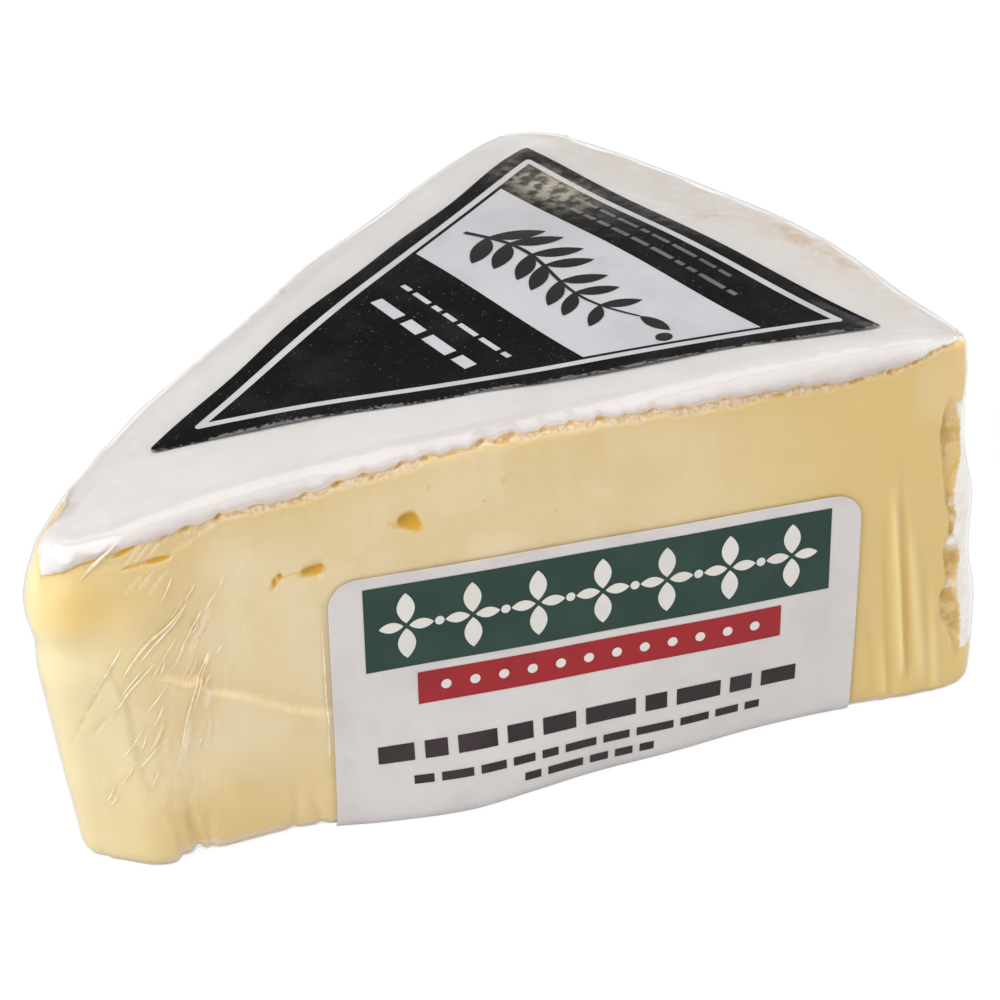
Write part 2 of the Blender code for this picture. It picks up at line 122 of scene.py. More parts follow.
NEAR_ALONG = np.array([math.cos(HALF_ANGLE), -math.sin(HALF_ANGLE)])
NEAR_OUT = np.array([-math.sin(HALF_ANGLE), -math.cos(HALF_ANGLE)])
FAR_ALONG = np.array([math.cos(HALF_ANGLE), math.sin(HALF_ANGLE)])
FAR_OUT = np.array([-math.sin(HALF_ANGLE), math.cos(HALF_ANGLE)])

# %% Three curves that everything is blended with
def ease(value, start, end):
    """Rise smoothly from 0 at start to 1 at end."""
    share = np.clip((value - start) / (end - start), 0, 1)
    return share * share * (3 - 2 * share)


def hump(value, middle, half_width):
    """A smooth hump of height 1 round middle."""
    return np.exp(-((value - middle) / half_width) ** 2)


def through(value, places, levels):
    """A smooth curve that passes through each level at its place; both are in millimetres."""
    places, levels = np.asarray(places, dtype=float), np.asarray(levels, dtype=float)
    slopes = np.gradient(levels, places)
    spot = np.clip(np.asarray(value) / MM, places[0], places[-1])
    index = np.clip(np.searchsorted(places, spot) - 1, 0, len(places) - 2)
    width = places[index + 1] - places[index]
    share = (spot - places[index]) / width
    rise = ease(share, 0, 1)
    lean = share * (1 - share) ** 2 * slopes[index] - share ** 2 * (1 - share) * slopes[index + 1]
    return (levels[index] * (1 - rise) + levels[index + 1] * rise + width * lean) * MM


# %% The top
def top_height(x, y):
    """Height of the rind's top: level at the rim, lower towards the tip."""
    from_peak = x - TOP_PEAK_AT
    tip_fall = TIP_DROOP * (from_peak / (TOP_PEAK_AT / 1.2)) ** 2
    rim_fall = RIM_DROOP * (from_peak / (WHEEL_RADIUS - TOP_PEAK_AT)) ** 2
    tip_dip = TIP_DIP * (1 - ease(np.hypot(x, y), 12 * MM, 25 * MM))
    corner_fall = 0
    for way, deep, reach in ((FAR_ALONG, 1.3 * MM, 9 * MM), (NEAR_ALONG, 0.55 * MM, 5 * MM)):
        to_corner = np.hypot(x - way[0] * WHEEL_RADIUS, y - way[1] * WHEEL_RADIUS)
        corner_fall = corner_fall + deep * hump(to_corner, 0, reach)
    ripple = np.sin(x / (6.7 * MM) + 1.0) + np.sin(y / (5.8 * MM) + x / (11 * MM))
    fall = np.where(from_peak < 0, tip_fall, rim_fall)
    towards_far = np.arctan2(y, np.maximum(x, MM)) / HALF_ANGLE
    sag = (0.65 - 0.45 * np.clip(towards_far, -1, 1)) * through(x, TOP_SAG_AT, TOP_SAG)
    return TOP_HEIGHT - fall - sag - tip_dip - corner_fall + TOP_RIPPLE * ripple


# %% How far each side stands out from its plain outline
NEAR_FOOT_ALONG = (12, 15.5, 20, 24, 32, 41, 50, 56, 63, 73, 82, 91, 100)
NEAR_FOOT_OUT = (0.9, 1.0, 0.0, -0.1, -0.4, 1.4, 2.4, 1.7, 0.8, 0.3, -0.5, -0.5, 0.4)
TIP_HEIGHTS = (0, 5, 12, 20, 24, 27, 30.5, 34, 37, 42)
TIP_OUT = (-3.2, -2.75, -2.0, -1.2, -0.8, -0.8, -0.15, -0.3, -1.0, -1.8)
RIM_HEIGHTS = (0, 5, 12, 16, 20, 24, 28, 32, 35, 39, 42)
RIM_OUT = {"near": (0.4, 0.7, 0.7, 0.0, 0.0, 0.1, -0.8, -1.6, -1.6, -1.2, -1.6),
           "rest": (0.4, 0.6, 0.8, 0.8, 0.7, 0.5, 0.2, -0.3, -0.6, -0.9, -1.0)}


def near_offset(along, height):
    """How far the near cut face stands out from its flat plane."""
    share = np.clip(height / TOP_HEIGHT, 0, 1)
    length = np.clip(along / WHEEL_RADIUS, 0, 1)
    swell = 0.9 * MM * np.sin(np.pi * length) * np.sin(np.pi * share ** 0.6)
    foot = through(along, NEAR_FOOT_ALONG, NEAR_FOOT_OUT)
    lean = math.tan(math.radians(0.77)) * height
    return swell + foot * (1 - ease(height, 0, 16 * MM)) - lean


def far_offset(along, height):
    """How far the far cut face stands out from its flat plane."""
    share = np.clip(height / TOP_HEIGHT, 0, 1)
    length = np.clip(along / WHEEL_RADIUS, 0, 1)
    swell = 0.8 * MM * np.sin(np.pi * length) * np.sin(np.pi * share ** 0.7)
    wave = 0.5 * MM * np.cos(2 * np.pi * (along - 30 * MM) / (48 * MM))
    wave = wave * ease(height, 10 * MM, 35 * MM) * (1 - ease(along, 90 * MM, 100 * MM))
    full = 0.8 * MM * hump(along, 64 * MM, 11 * MM) - 0.3 * MM * hump(along, 44 * MM, 8 * MM)
    narrow = 1.1 * MM * (1 - ease(along, 19 * MM, 34 * MM)) * ease(height, 30 * MM, 40 * MM)
    return 1.0 * MM + swell + wave + full * ease(height, 20 * MM, 40 * MM) - narrow


def tip_offset(reach, height):
    """The tip leans back towards its base, and its rind is drawn in."""
    return (1 - ease(reach, 10 * MM, 18 * MM)) * through(height, TIP_HEIGHTS, TIP_OUT)


def rim_offset(height, near_share):
    """The rim swells under half height; at the near corner it is also drawn in above."""
    return (near_share * through(height, RIM_HEIGHTS, RIM_OUT["near"])
            + (1 - near_share) * through(height, RIM_HEIGHTS, RIM_OUT["rest"]))


# %% [markdown]
# ## Round the outline, and up the wall
#
# The skin is a grid. Its columns are stations round the outline: along the near
# cut, round a corner, round the rim, back along the far cut and round the tip. Each
# keeps its distance along the skin, so that a mark can run on round the tip. The
# rows run down from the top over the shoulder and the wall. They are crowded between
# the rind's end and the end of the torn paste, the most detailed strip of the cheese.

# %% Stations round the outline
NEAR_COLUMNS = 350
FOLDS_COLUMNS = 60
FOLDS_FROM = 93.5 * MM
CORNER_COLUMNS = {"near": 18, "far": 10}
RIM_COLUMNS = 56
FAR_COLUMNS = 110
TIP_COLUMNS = 26


def cut_end(side):
    """Where a cut face's rounded corner starts: distance along, and turn about the middle."""
    radius = CORNER_RADIUS[side]
    inner = WHEEL_RADIUS - radius
    return math.sqrt(inner ** 2 - radius ** 2), math.asin(radius / inner)


def corner_stations(side, middle_angle, first):
    """The rounded corner between a cut face and the rim; its value goes on counting the distance."""
    radius = CORNER_RADIUS[side]
    sweep = cut_end(side)[1] + math.pi / 2
    middle = (WHEEL_RADIUS - radius) * np.array([math.cos(middle_angle), math.sin(middle_angle)])
    stations = []
    for turn in np.linspace(0, sweep, CORNER_COLUMNS[side], endpoint=False):
        out = np.array([math.cos(first + turn), math.sin(first + turn)])
        arc = turn if side == "near" else sweep - turn
        stations.append((side + "_corner", middle + out * radius, out, cut_end(side)[0] + radius * arc))
    return stations


def outline_stations():
    """Stations from the tip along the near cut, round the rim, back along the far cut, round the tip."""
    near_end, near_turn = cut_end("near")
    far_end, far_turn = cut_end("far")
    stations = []
    for start, end, count in ((TIP_START, FOLDS_FROM, NEAR_COLUMNS), (FOLDS_FROM, near_end, FOLDS_COLUMNS)):
        for along in np.linspace(start, end, count, endpoint=False):
            stations.append(("near", NEAR_ALONG * along, NEAR_OUT, along))
    stations += corner_stations("near", -HALF_ANGLE + near_turn, -HALF_ANGLE - math.pi / 2)
    for angle in np.linspace(-HALF_ANGLE + near_turn, HALF_ANGLE - far_turn, RIM_COLUMNS, endpoint=False):
        out = np.array([math.cos(angle), math.sin(angle)])
        stations.append(("rim", out * WHEEL_RADIUS, out, angle))
    stations += corner_stations("far", HALF_ANGLE - far_turn, HALF_ANGLE - far_turn)
    for along in np.linspace(far_end, TIP_START, FAR_COLUMNS, endpoint=False):
        stations.append(("far", FAR_ALONG * along, FAR_OUT, along))
    middle = np.array([TIP_RADIUS / math.sin(HALF_ANGLE), 0.0])
    first, last = math.pi / 2 + HALF_ANGLE, 3 * math.pi / 2 - HALF_ANGLE
    for angle in np.linspace(first, last, TIP_COLUMNS, endpoint=False):
        out = np.array([math.cos(angle), math.sin(angle)])
        stations.append(("tip", middle + out * TIP_RADIUS, out, TIP_START - TIP_RADIUS * (last - angle)))
    return stations


stations = outline_stations()
print(len(stations), "stations round the outline")

# %% The roundings at one station, and its offset
def edge_radius(radii, side, value):
    """The rounding of the top or bottom edge, which shrinks towards the rim's corners."""
    end = "far" if side in ("far", "far_corner") or (side == "rim" and value > 0) else "near"
    corner = CORNER_SHOULDER[end] if radii is SHOULDER else radii["near"]
    if "corner" in side:
        return corner
    if side == "rim":
        return corner + (radii["rim"] - corner) * ease(HALF_ANGLE - abs(value), 0.02, 0.14)
    if side == "tip":
        return radii["tip"]
    rim_share = ease(value, WHEEL_RADIUS - 12 * MM, cut_end(side)[0])
    tip_share = 1 - ease(value, TIP_START, 22.5 * MM)
    return radii[side] + (radii["tip"] - radii[side]) * tip_share + (corner - radii[side]) * rim_share


def side_offset(station, height):
    """How far the smooth wrapped form stands out from the plain outline at one station."""
    side, place, out, value = station
    reach = float(np.hypot(*place))
    if side == "near":
        return near_offset(value, height) + tip_offset(reach, height)
    if side == "far":
        return far_offset(value, height) + tip_offset(reach, height)
    if side == "tip":
        near_share = 1 - (TIP_START - value) / TIP_ARC
        near_part = near_share * near_offset(TIP_START, height)
        return near_part + (1 - near_share) * far_offset(TIP_START, height) + tip_offset(reach, height)
    facing_near = max(float(out @ NEAR_OUT), 0.0) ** 2
    facing_far = max(float(out @ FAR_OUT), 0.0) ** 2
    near_part = facing_near * near_offset(cut_end("near")[0], height)
    far_part = facing_far * far_offset(cut_end("far")[0], height)
    near_share = 1 - ease(math.atan2(place[1], place[0]) + HALF_ANGLE, 0.04, 0.16)
    return near_part + far_part + (1 - facing_near) * (1 - facing_far) * rim_offset(height, near_share)


# %% [markdown]
# ### The rind's edge
#
# The knife drags the rind over the cut. It hangs low at the tip and ends further up
# along the cut, in scallops with small holes torn between them, and under it runs a
# strip of torn paste. Both ends are smooth curves: a few places along the skin, and
# how far below the top the end lies at each. The scallops meet in cusps: the first
# ones are placed as they are on the real cheese, and the rest are drawn at random
# with a fixed seed, so each run gives the same. The top edge isn't a plain round:
# its curve starts gently and is tightest in the middle, like a softened cheese's.

# %% Where the rind ends, and where the torn paste under it ends
RIND_END_AT = (1, 2.5, 4.5, 6.2, 7, 8.3, 9.8, 12, 15, 17.5, 20, 24, 27, 30, 33, 36, 40, 46, 56, 62, 68,
               74, 79, 84, 89, 93.5, 97, 100, 103.8, 109.6)
RIND_END = (0.15, 0.3, 0.9, 2.0, 3.4, 3.1, 2.8, 2.2, 2.0, 1.7, 2.2, 2.2, 1.8, 2.0, 2.1, 1.9, 1.55, 1.3, 0.85,
            0.95, 1.3, 1.9, 2.3, 2.5, 3.0, 3.1, 2.8, 2.0, 0.6, 0.25)
TORN_END_AT = (1, 6.2, 7.5, 10, 12.5, 14.3, 17.2, 20.7, 22.3, 24.5, 27, 32, 37, 40, 44.5, 47.5, 57, 63,
               69, 74, 80, 84.5, 89, 94, 99.5, 103.8, 109.6)
TORN_END = (0.5, 2.4, 3.7, 3.2, 3.0, 3.5, 4.5, 5.2, 4.3, 3.3, 2.7, 3.0, 2.8, 2.4, 2.5, 1.7, 1.5, 1.9,
            2.3, 3.0, 3.6, 3.5, 4.0, 3.7, 2.9, 1.0, 0.5)
PLACED_CUSPS = (20.8, 23.1, 26.4, 30, 34.9, 38.7, 41.3, 44.9, 47.5, 50.4, 53.5, 56.7, 60)
SCALLOP_DEPTH = 0.45 * MM
FAR_SHIFT = 1.3 * MM

drawn_cusps = []
while not drawn_cusps or drawn_cusps[-1] < 101:
    drawn_cusps.append((drawn_cusps[-1] if drawn_cusps else 60) + rng.uniform(2.2, 4.2))
cusps = np.array(PLACED_CUSPS + tuple(drawn_cusps)) * MM
cusp_strength = rng.uniform(0.5, 1.0, len(cusps)) * (1 - 0.4 * ease(cusps, 60 * MM, 80 * MM))


def end_drop(side, along, places, levels):
    """How far below the top one of the two curves lies at one station."""
    if side in ("rim", "far_corner"):
        return 2.0 * MM
    if side == "far":
        start = levels[0] * MM
        return start + (float(through(along + FAR_SHIFT, places, levels)) - start) * ease(along, 14 * MM, 24 * MM)
    return float(through(along, places, levels))


def rind_end(side, along):
    """How far below the top the rind ends, scallops and all."""
    drop = end_drop(side, along, RIND_END_AT, RIND_END)
    shifted = along + (FAR_SHIFT if side == "far" else 0.0)
    nearest = int(np.argmin(np.abs(cusps - shifted)))
    away = abs(cusps[nearest] - shifted) / (0.9 * MM)
    drop -= min(SCALLOP_DEPTH, 0.5 * drop) * cusp_strength[nearest] * math.exp(-away ** 1.3)
    wobble = math.sin(along / (0.41 * MM)) + math.sin(along / (0.23 * MM) + 1.7)
    uneven = 0.05 * wobble + 0.10 * math.sin(along / (1.3 * MM))
    return max(drop + uneven * MM, 0.12 * MM)


def torn_end(side, along):
    """How far below the top the torn paste ends."""
    uneven = 0.12 * math.sin(along / (0.9 * MM)) + 0.08 * math.sin(along / (0.37 * MM) + 2)
    return end_drop(side, along, TORN_END_AT, TORN_END) + uneven * MM


# %% Points down one wall
ABOVE_ROWS = 10
EDGE_ROWS = 34
SIDE_ROWS = 86
FOOT_ROWS = 6
EDGE_ABOVE = 0.5 * MM
EDGE_BELOW = 0.8 * MM
NARROWEST_TORN = 0.5 * MM
LEDGE_LEVEL = 19 * MM


def wall_path(drop, shoulder):
    """Distance down the skin, from where the rounding starts, to a drop below the top."""
    turn = math.acos((1 - min(drop / shoulder, 1)) ** (SQUARENESS / 2))
    return shoulder * turn + max(drop - shoulder, 0)


def crowded(start, end, count, middle, width, crowding):
    """Places from start up to end, closer together round the middle."""
    fine = np.linspace(start, end, 400)
    density = 1 + crowding * hump(fine, middle, width)
    total = np.concatenate([[0], np.cumsum((density[1:] + density[:-1]) / 2)])
    return np.interp(np.linspace(0, total[-1], count, endpoint=False), total, fine)


def wall_rows(station):
    """Inset and height of each row, its distance below the rind's end, and its share of the torn strip."""
    side, place, out, value = station
    shoulder = edge_radius(SHOULDER, side, value)
    foot = edge_radius(FOOT, side, value)
    top = float(top_height(*(place + out * (side_offset(station, TOP_HEIGHT) - shoulder))))
    edge = wall_path(rind_end(side, value), shoulder)
    torn = max(wall_path(torn_end(side, value), shoulder), edge + NARROWEST_TORN)
    arc = shoulder * math.pi / 2
    end = arc + top - shoulder - foot
    path = np.concatenate([
        np.linspace(0, edge - EDGE_ABOVE, ABOVE_ROWS, endpoint=False),
        np.linspace(edge - EDGE_ABOVE, torn + EDGE_BELOW, EDGE_ROWS, endpoint=False),
        crowded(torn + EDGE_BELOW, end, SIDE_ROWS, arc + top - shoulder - LEDGE_LEVEL, 5 * MM, 1.2),
    ])
    turn = np.minimum(path, arc) / shoulder
    inset = shoulder * (1 - np.sin(turn) ** (2 / SQUARENESS))
    height = top - shoulder * (1 - np.abs(np.cos(turn)) ** (2 / SQUARENESS)) - np.maximum(path - arc, 0)
    under = np.linspace(0, math.pi / 2, FOOT_ROWS)
    inset = np.append(inset, foot * (1 - np.cos(under)))
    height = np.append(height, foot * (1 - np.sin(under)))
    path = np.append(path, end + foot * under)
    return inset, height, path - edge, (path - edge) / (torn - edge)


# %% Lay the grid over the whole wall
walls = [wall_rows(station) for station in stations]
inset = np.array([wall[0] for wall in walls]).T
height = np.array([wall[1] for wall in walls]).T
below_edge = np.array([wall[2] for wall in walls]).T
torn_share = np.array([wall[3] for wall in walls]).T
offset = np.array([side_offset(station, wall[1]) for station, wall in zip(stations, walls)]).T
place = np.array([station[1] for station in stations])
out = np.array([station[2] for station in stations])
plan = place[None] + out[None] * (offset - inset)[..., None]
wall_points = np.concatenate([plan, height[..., None]], axis=2)

# the shoulder takes up nearly the whole rounding of the tip and of the near corner: columns are evened there
SMOOTHINGS = 40
tight = np.zeros(len(stations))
for tight_side, reach in (("tip", 20), ("near_corner", 14)):
    middle = np.mean([index for index, station in enumerate(stations) if station[0] == tight_side])
    away = (np.arange(len(stations)) - middle + len(stations) / 2) % len(stations) - len(stations) / 2
    tight += hump(away, 0, reach)
tight = tight[None, :, None] * (1 - ease(np.arange(len(height)), 0, 14))[:, None, None]
for _ in range(SMOOTHINGS):
    evened = (np.roll(wall_points, 1, axis=1) + 2 * wall_points + np.roll(wall_points, -1, axis=1)) / 4
    wall_points += tight * (evened - wall_points)
print("wall grid of", wall_points.shape[0], "rows and", wall_points.shape[1], "columns")

# %% Close it with rings over the top
TOP_RINGS = 24
crown = wall_points[0]
crown_middle = (crown.min(axis=0) + crown.max(axis=0)) / 2
crown_rise = crown[:, 2] - top_height(crown[:, 0], crown[:, 1])
rings = []
for ring in range(TOP_RINGS, 0, -1):
    share = (ring / (TOP_RINGS + 1)) ** 1.15
    ring_plan = crown[:, :2] * (1 - share) + crown_middle[:2] * share
    level = top_height(ring_plan[:, 0], ring_plan[:, 1]) + crown_rise * (1 - ease(share, 0, 0.3))
    rings.append(np.column_stack([ring_plan, level]))
smooth_form = np.concatenate([np.array(rings), wall_points])
ROWS, COLUMNS = smooth_form.shape[:2]
print("smooth form of", ROWS * COLUMNS, "points; the crown is off the top by up to",
      round(float(np.abs(crown_rise).max()) / MM, 2), "mm")

# %% [markdown]
# The form was made round the wheel's middle. The plain model stands over the
# origin, and was drawn round the same wheel: its middle is this far to one side.

# %% Where the wheel's middle is in the plain model's frame
wheel_middle = np.array([-58.45, 0.11, 0.0]) * MM
cheese_low, cheese_high = (np.array(corner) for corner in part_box("cheese_wedge"))
form = smooth_form.reshape(-1, 3) + wheel_middle
print("form over the plain model in mm:", ((form.min(axis=0) - cheese_low) / MM).round(2),
      ((form.max(axis=0) - cheese_high) / MM).round(2))

# %% Which way the skin faces
def grid_normals(points):
    """Outward directions of a grid that closes round its columns."""
    around = np.roll(points, -1, axis=1) - np.roll(points, 1, axis=1)
    up = np.empty_like(points)
    up[1:-1] = points[:-2] - points[2:]
    up[0] = points[0] - points[1]
    up[-1] = points[-2] - points[-1]
    normals = np.cross(around, up)
    length = np.linalg.norm(normals, axis=2, keepdims=True)
    return normals / np.maximum(length, 1e-12)


normals = grid_normals(smooth_form)

# %% [markdown]
# ## Noise
#
# Rind, torn paste and film are all uneven at several sizes at once. Blender's
# shader noise can't move points before the mesh is made, so this is a small noise
# of our own: random values on a lattice, blended smoothly between its knots.

# %% Lattice noise
LATTICE_SIZE = 64
lattice = rng.random((LATTICE_SIZE,) * 3)


def grain(points, size, shift=0.0):
    """Smooth noise from -1 to 1, with blobs about as wide as size."""
    places = np.asarray(points) / size + shift
    low = np.floor(places).astype(int)
    part = places - low
    part = part * part * (3 - 2 * part)
    total = np.zeros(places.shape[:-1])
    for corner in itertools.product((0, 1), repeat=3):
        index = (low + corner) % LATTICE_SIZE
        weight = np.prod(np.where(corner, part, 1 - part), axis=-1)
        total += weight * lattice[index[..., 0], index[..., 1], index[..., 2]]
    return 2 * total - 1


def rough(points, size, shift=0.0):
    """Noise at three sizes, each half the one before."""
    return (grain(points, size, shift) + 0.5 * grain(points, size / 2, shift + 3.1)
            + 0.25 * grain(points, size / 4, shift + 7.7)) / 1.75


# %% [markdown]
# ## What marks the cheese
#
# The photograph shows torn holes under the rind, an eye hole, a split, a torn
# patch with a stepped edge, a bulge at the tip and upright folds by the rim. Each
# becomes a function that says how deep it is at every point of the cut face, given
# by its distance along the face and its height. Marks that the film follows are
# kept apart from the pits that it bridges.

# %% Coordinates of every point on the faces
side_names = np.array([station[0] for station in stations])
values = np.array([station[3] for station in stations], dtype=float)
wall = smooth_form[TOP_RINGS:]
wall_along = np.broadcast_to(values, wall.shape[:2])
wall_height = wall[..., 2]
on_face = np.broadcast_to(np.isin(side_names, ["tip", "near", "near_corner"]), wall.shape[:2])
on_cut = np.broadcast_to(np.isin(side_names, ["tip", "near", "far"]), wall.shape[:2])
on_corner = np.broadcast_to(side_names == "near_corner", wall.shape[:2])


def streak(start, end, half_width):
    """A tapered line on the near face between two places in millimetres: 1 on it, 0 beside it."""
    start, end = np.array(start) * MM, np.array(end) * MM
    run = end - start
    share = ((wall_along - start[0]) * run[0] + (wall_height - start[1]) * run[1]) / (run @ run)
    share = np.clip(share, 0, 1)
    away = np.hypot(wall_along - start[0] - share * run[0], wall_height - start[1] - share * run[1])
    reach = half_width * MM * np.sin(np.pi * (0.12 + 0.76 * share))
    return np.where(on_face, 1 - ease(away / reach, 0.35, 1), 0)


# %% Marks that the film follows
LEDGE_ALONG = np.array([19.5, 21.6, 22.9, 23.6, 26.1, 28.4, 30.9, 35.2]) * MM
LEDGE_HEIGHT = np.array([23.1, 21.9, 22.2, 20.6, 19.4, 18.3, 16.6, 15.3]) * MM
BULGE_HEIGHT = np.array([1.5, 5.5, 9.6, 16.1, 20.1, 24.9]) * MM
BULGE_ALONG = np.array([18.7, 18.2, 16.3, 15.4, 15.2, 14.0]) * MM


def torn_ledge(along, height, points):
    """Below a stepped line the paste stands proud; above it a flake was pulled off."""
    line = np.interp(along, LEDGE_ALONG, LEDGE_HEIGHT) + 0.35 * MM * rough(points, 2.2 * MM)
    under = line - height
    window = ease(along, 18 * MM, 21 * MM) * (1 - ease(along, 33 * MM, 41 * MM))
    step = ease(under, -0.12 * MM, 0.25 * MM)
    proud = 0.36 * MM * step * np.exp(-np.maximum(under, 0) / (4 * MM))
    pulled = 0.30 * MM * (1 - step) * np.exp(-np.maximum(-under, 0) / (3.5 * MM))
    return window * (pulled - proud)


def tip_bulge(along, height, points):
    """The tip squeezed forward when it was wrapped; its edge is a soft upright step."""
    line = np.interp(height, BULGE_HEIGHT, BULGE_ALONG) + 0.3 * MM * rough(points, 2.6 * MM, 5.0)
    before = line - along
    window = 1 - ease(height, 20 * MM, 27 * MM)
    step = ease(before, -0.35 * MM, 0.5 * MM)
    proud = 0.42 * MM * step * np.exp(-np.maximum(before, 0) / (5 * MM))
    return window * (0.16 * MM * (1 - step) * np.exp(-np.maximum(-before, 0) / (3 * MM)) - proud)


def dents(along, height):
    """Shallow thumb marks high on the left, and a notch at the foot beside the bulge."""
    depth = 0
    for middle, size, deep in (((14.6, 30.9), (2.4, 2.6), 0.35), ((18.3, 27.7), (3.0, 2.0), 0.35),
                               ((30.0, 8.0), (5.0, 4.0), 0.25), ((22.0, 12.0), (2.6, 5.0), 0.3)):
        across = hump(along, middle[0] * MM, size[0] * MM)
        depth = depth + deep * MM * across * hump(height, middle[1] * MM, size[1] * MM)
    for place, top, deep in ((20.4, 8, 0.7), (22.3, 7, 0.3), (31.0, 9, 0.2), (33.6, 7, 0.25)):
        bend = 0.4 * MM * np.sin(height / (2.1 * MM) + place)
        depth = depth + deep * MM * hump(along, place * MM + bend, 0.55 * MM) * (
            1 - ease(height, 0.4 * top * MM, top * MM))
    return depth


def upright_folds(along, height):
    """Folds pressed into the paste by the gathered film near the rim: furrows, and ridges below zero."""
    depth = 0
    for low, high, bottom, top, half_width, deep in (
            ((98.9, 8.0), (98.2, 20.0), 3, 28, 0.36, -0.50), ((99.8, 10.0), (99.1, 25.0), 2, 29, 0.34, 0.40),
            ((101.0, 9.0), (100.0, 20.0), 2, 23, 0.60, -0.36), ((102.2, 10.0), (101.4, 20.0), 6, 19, 0.40, 0.24),
            ((98.0, 5.0), (97.2, 18.7), 0, 22, 0.45, 0.28), ((96.4, 1.0), (95.0, 16.0), 0, 15, 0.50, 0.20),
            ((97.3, 2.0), (96.6, 12.0), 0, 11, 0.35, -0.20), ((103.0, 4.0), (102.4, 14.0), 0, 14, 0.50, -0.30)):
        slope = (high[0] - low[0]) / (high[1] - low[1])
        line = (low[0] + (height / MM - low[1]) * slope) * MM
        window = ease(height, (bottom - 1) * MM, (bottom + 3) * MM)
        window = window * (1 - ease(height, (top - 7) * MM, (top + 1) * MM))
        depth = depth + deep * MM * window * hump(along, line, half_width * MM)
    return depth


below = below_edge
lumps = rough(wall, 2.2 * MM, 27.0)
lip_roll = 0.13 * MM * hump(below, -0.45 * MM, 0.4 * MM) * (0.7 + lumps)
followed = torn_ledge(wall_along, wall_height, wall) + tip_bulge(wall_along, wall_height, wall)
followed += dents(wall_along, wall_height) + upright_folds(wall_along, wall_height)
followed = np.where(on_face, followed, 0)
followed += np.where(on_cut, 0.10 * MM * rough(wall, 7 * MM, 1.0) - lip_roll, 0)
print("deepest followed mark in mm:", round(followed.max() / MM, 2))

# %% [markdown]
# The pits come next: things the film bridges. A closed outline and the distance to
# it make a pit with a crisp rim. Points that lie close to the outline are first
# slid along the face onto it, so that the rim is a clean line and not a staircase
# of grid cells.

# %% Distance to a closed outline
def outline_distance(along, height, outline):
    """Distance to the outline, positive inside, and the nearest place on it."""
    outline = np.asarray(outline)
    spot = np.stack([along, height], axis=-1)
    best = np.full(along.shape, np.inf)
    nearest = np.zeros(spot.shape)
    inside = np.zeros(along.shape, dtype=bool)
    for start, end in zip(outline, np.roll(outline, -1, axis=0)):
        edge = end - start
        share = np.clip(((spot - start) @ edge) / (edge @ edge), 0, 1)
        foot_point = start + share[..., None] * edge
        distance = np.linalg.norm(spot - foot_point, axis=-1)
        closer = distance < best
        best = np.where(closer, distance, best)
        nearest = np.where(closer[..., None], foot_point, nearest)
        crosses = (start[1] > height) != (end[1] > height)
        reach = start[0] + (height - start[1]) * edge[0] / (edge[1] if edge[1] else 1e-12)
        inside ^= crosses & (along < reach)
    return np.where(inside, best, -best), nearest


# %% Outlines of the eye hole and the split
def smooth_loop(corners, steps=6):
    """A closed curve through the corners, in metres."""
    corners = np.array(corners) * MM
    before, after = np.roll(corners, 1, axis=0), np.roll(corners, -1, axis=0)
    beyond = np.roll(corners, -2, axis=0)
    loop = []
    for a, b, c, d in zip(before, corners, after, beyond):
        for share in np.arange(steps) / steps:
            loop.append(0.5 * (2 * b + (c - a) * share + (2 * a - 5 * b + 4 * c - d) * share ** 2
                               + (3 * b - a - 3 * c + d) * share ** 3))
    return loop


eye_hole = smooth_loop([(43.0, 35.25), (43.9, 35.35), (44.4, 35.9), (45.1, 36.25), (45.9, 36.15),
                        (46.35, 35.5), (46.6, 34.7), (46.6, 33.95), (45.9, 33.95), (45.0, 34.35), (44.0, 34.8)])
split = smooth_loop([(30.6, 30.7), (31.2, 31.8), (32.1, 32.15), (32.9, 31.85), (33.7, 31.95), (34.9, 32.4),
                     (36.2, 32.25), (36.5, 31.6), (35.6, 31.15), (34.4, 31.25), (33.4, 31.65),
                     (32.4, 31.7), (31.7, 31.35), (31.1, 30.6)])
specks = [smooth_loop([(x - r, z), (x, z + 0.8 * r), (x + r, z), (x, z - 0.8 * r)])
          for x, z, r in ((53.2, 35.8, 0.16), (60.7, 33.1, 0.2), (55.4, 37.7, 0.2), (47.6, 38.6, 0.2))]
crisp_pits = [(eye_hole, 1.0 * MM, 0.4 * MM), (split, 0.8 * MM, 0.3 * MM)]
crisp_pits += [(speck, 0.2 * MM, 0.2 * MM) for speck in specks]

# %% Slide points onto the outlines, then sink what is inside
along_now = wall_along.copy()
height_now = wall_height.copy()
bridged = np.zeros(wall.shape[:2])
honey = np.zeros(wall.shape[:2])
SNAP_REACH = 0.21 * MM
for outline, depth, slope_width in crisp_pits:
    low, high = np.min(outline, axis=0) - MM, np.max(outline, axis=0) + MM
    close = on_face & (wall_along > low[0]) & (wall_along < high[0])
    close &= (wall_height > low[1]) & (wall_height < high[1])
    distance, nearest = outline_distance(wall_along[close], wall_height[close], outline)
    onto = np.abs(distance) < SNAP_REACH
    along_now[close] = np.where(onto, nearest[..., 0], wall_along[close])
    height_now[close] = np.where(onto, nearest[..., 1], wall_height[close])
    sunk = np.where(onto, 0, np.maximum(distance, 0))
    bridged[close] += depth * (1 - np.exp(-(sunk / slope_width) ** 1.2))
    honey[close] = np.maximum(honey[close], np.where(onto, 0.45, ease(distance, 0, 0.3 * MM)))
slid = (along_now - wall_along)[..., None] * np.append(NEAR_ALONG, 0)
slid[..., 2] += height_now - wall_height
print("points slid onto outlines:", int((np.abs(slid).sum(axis=2) > 0).sum()))

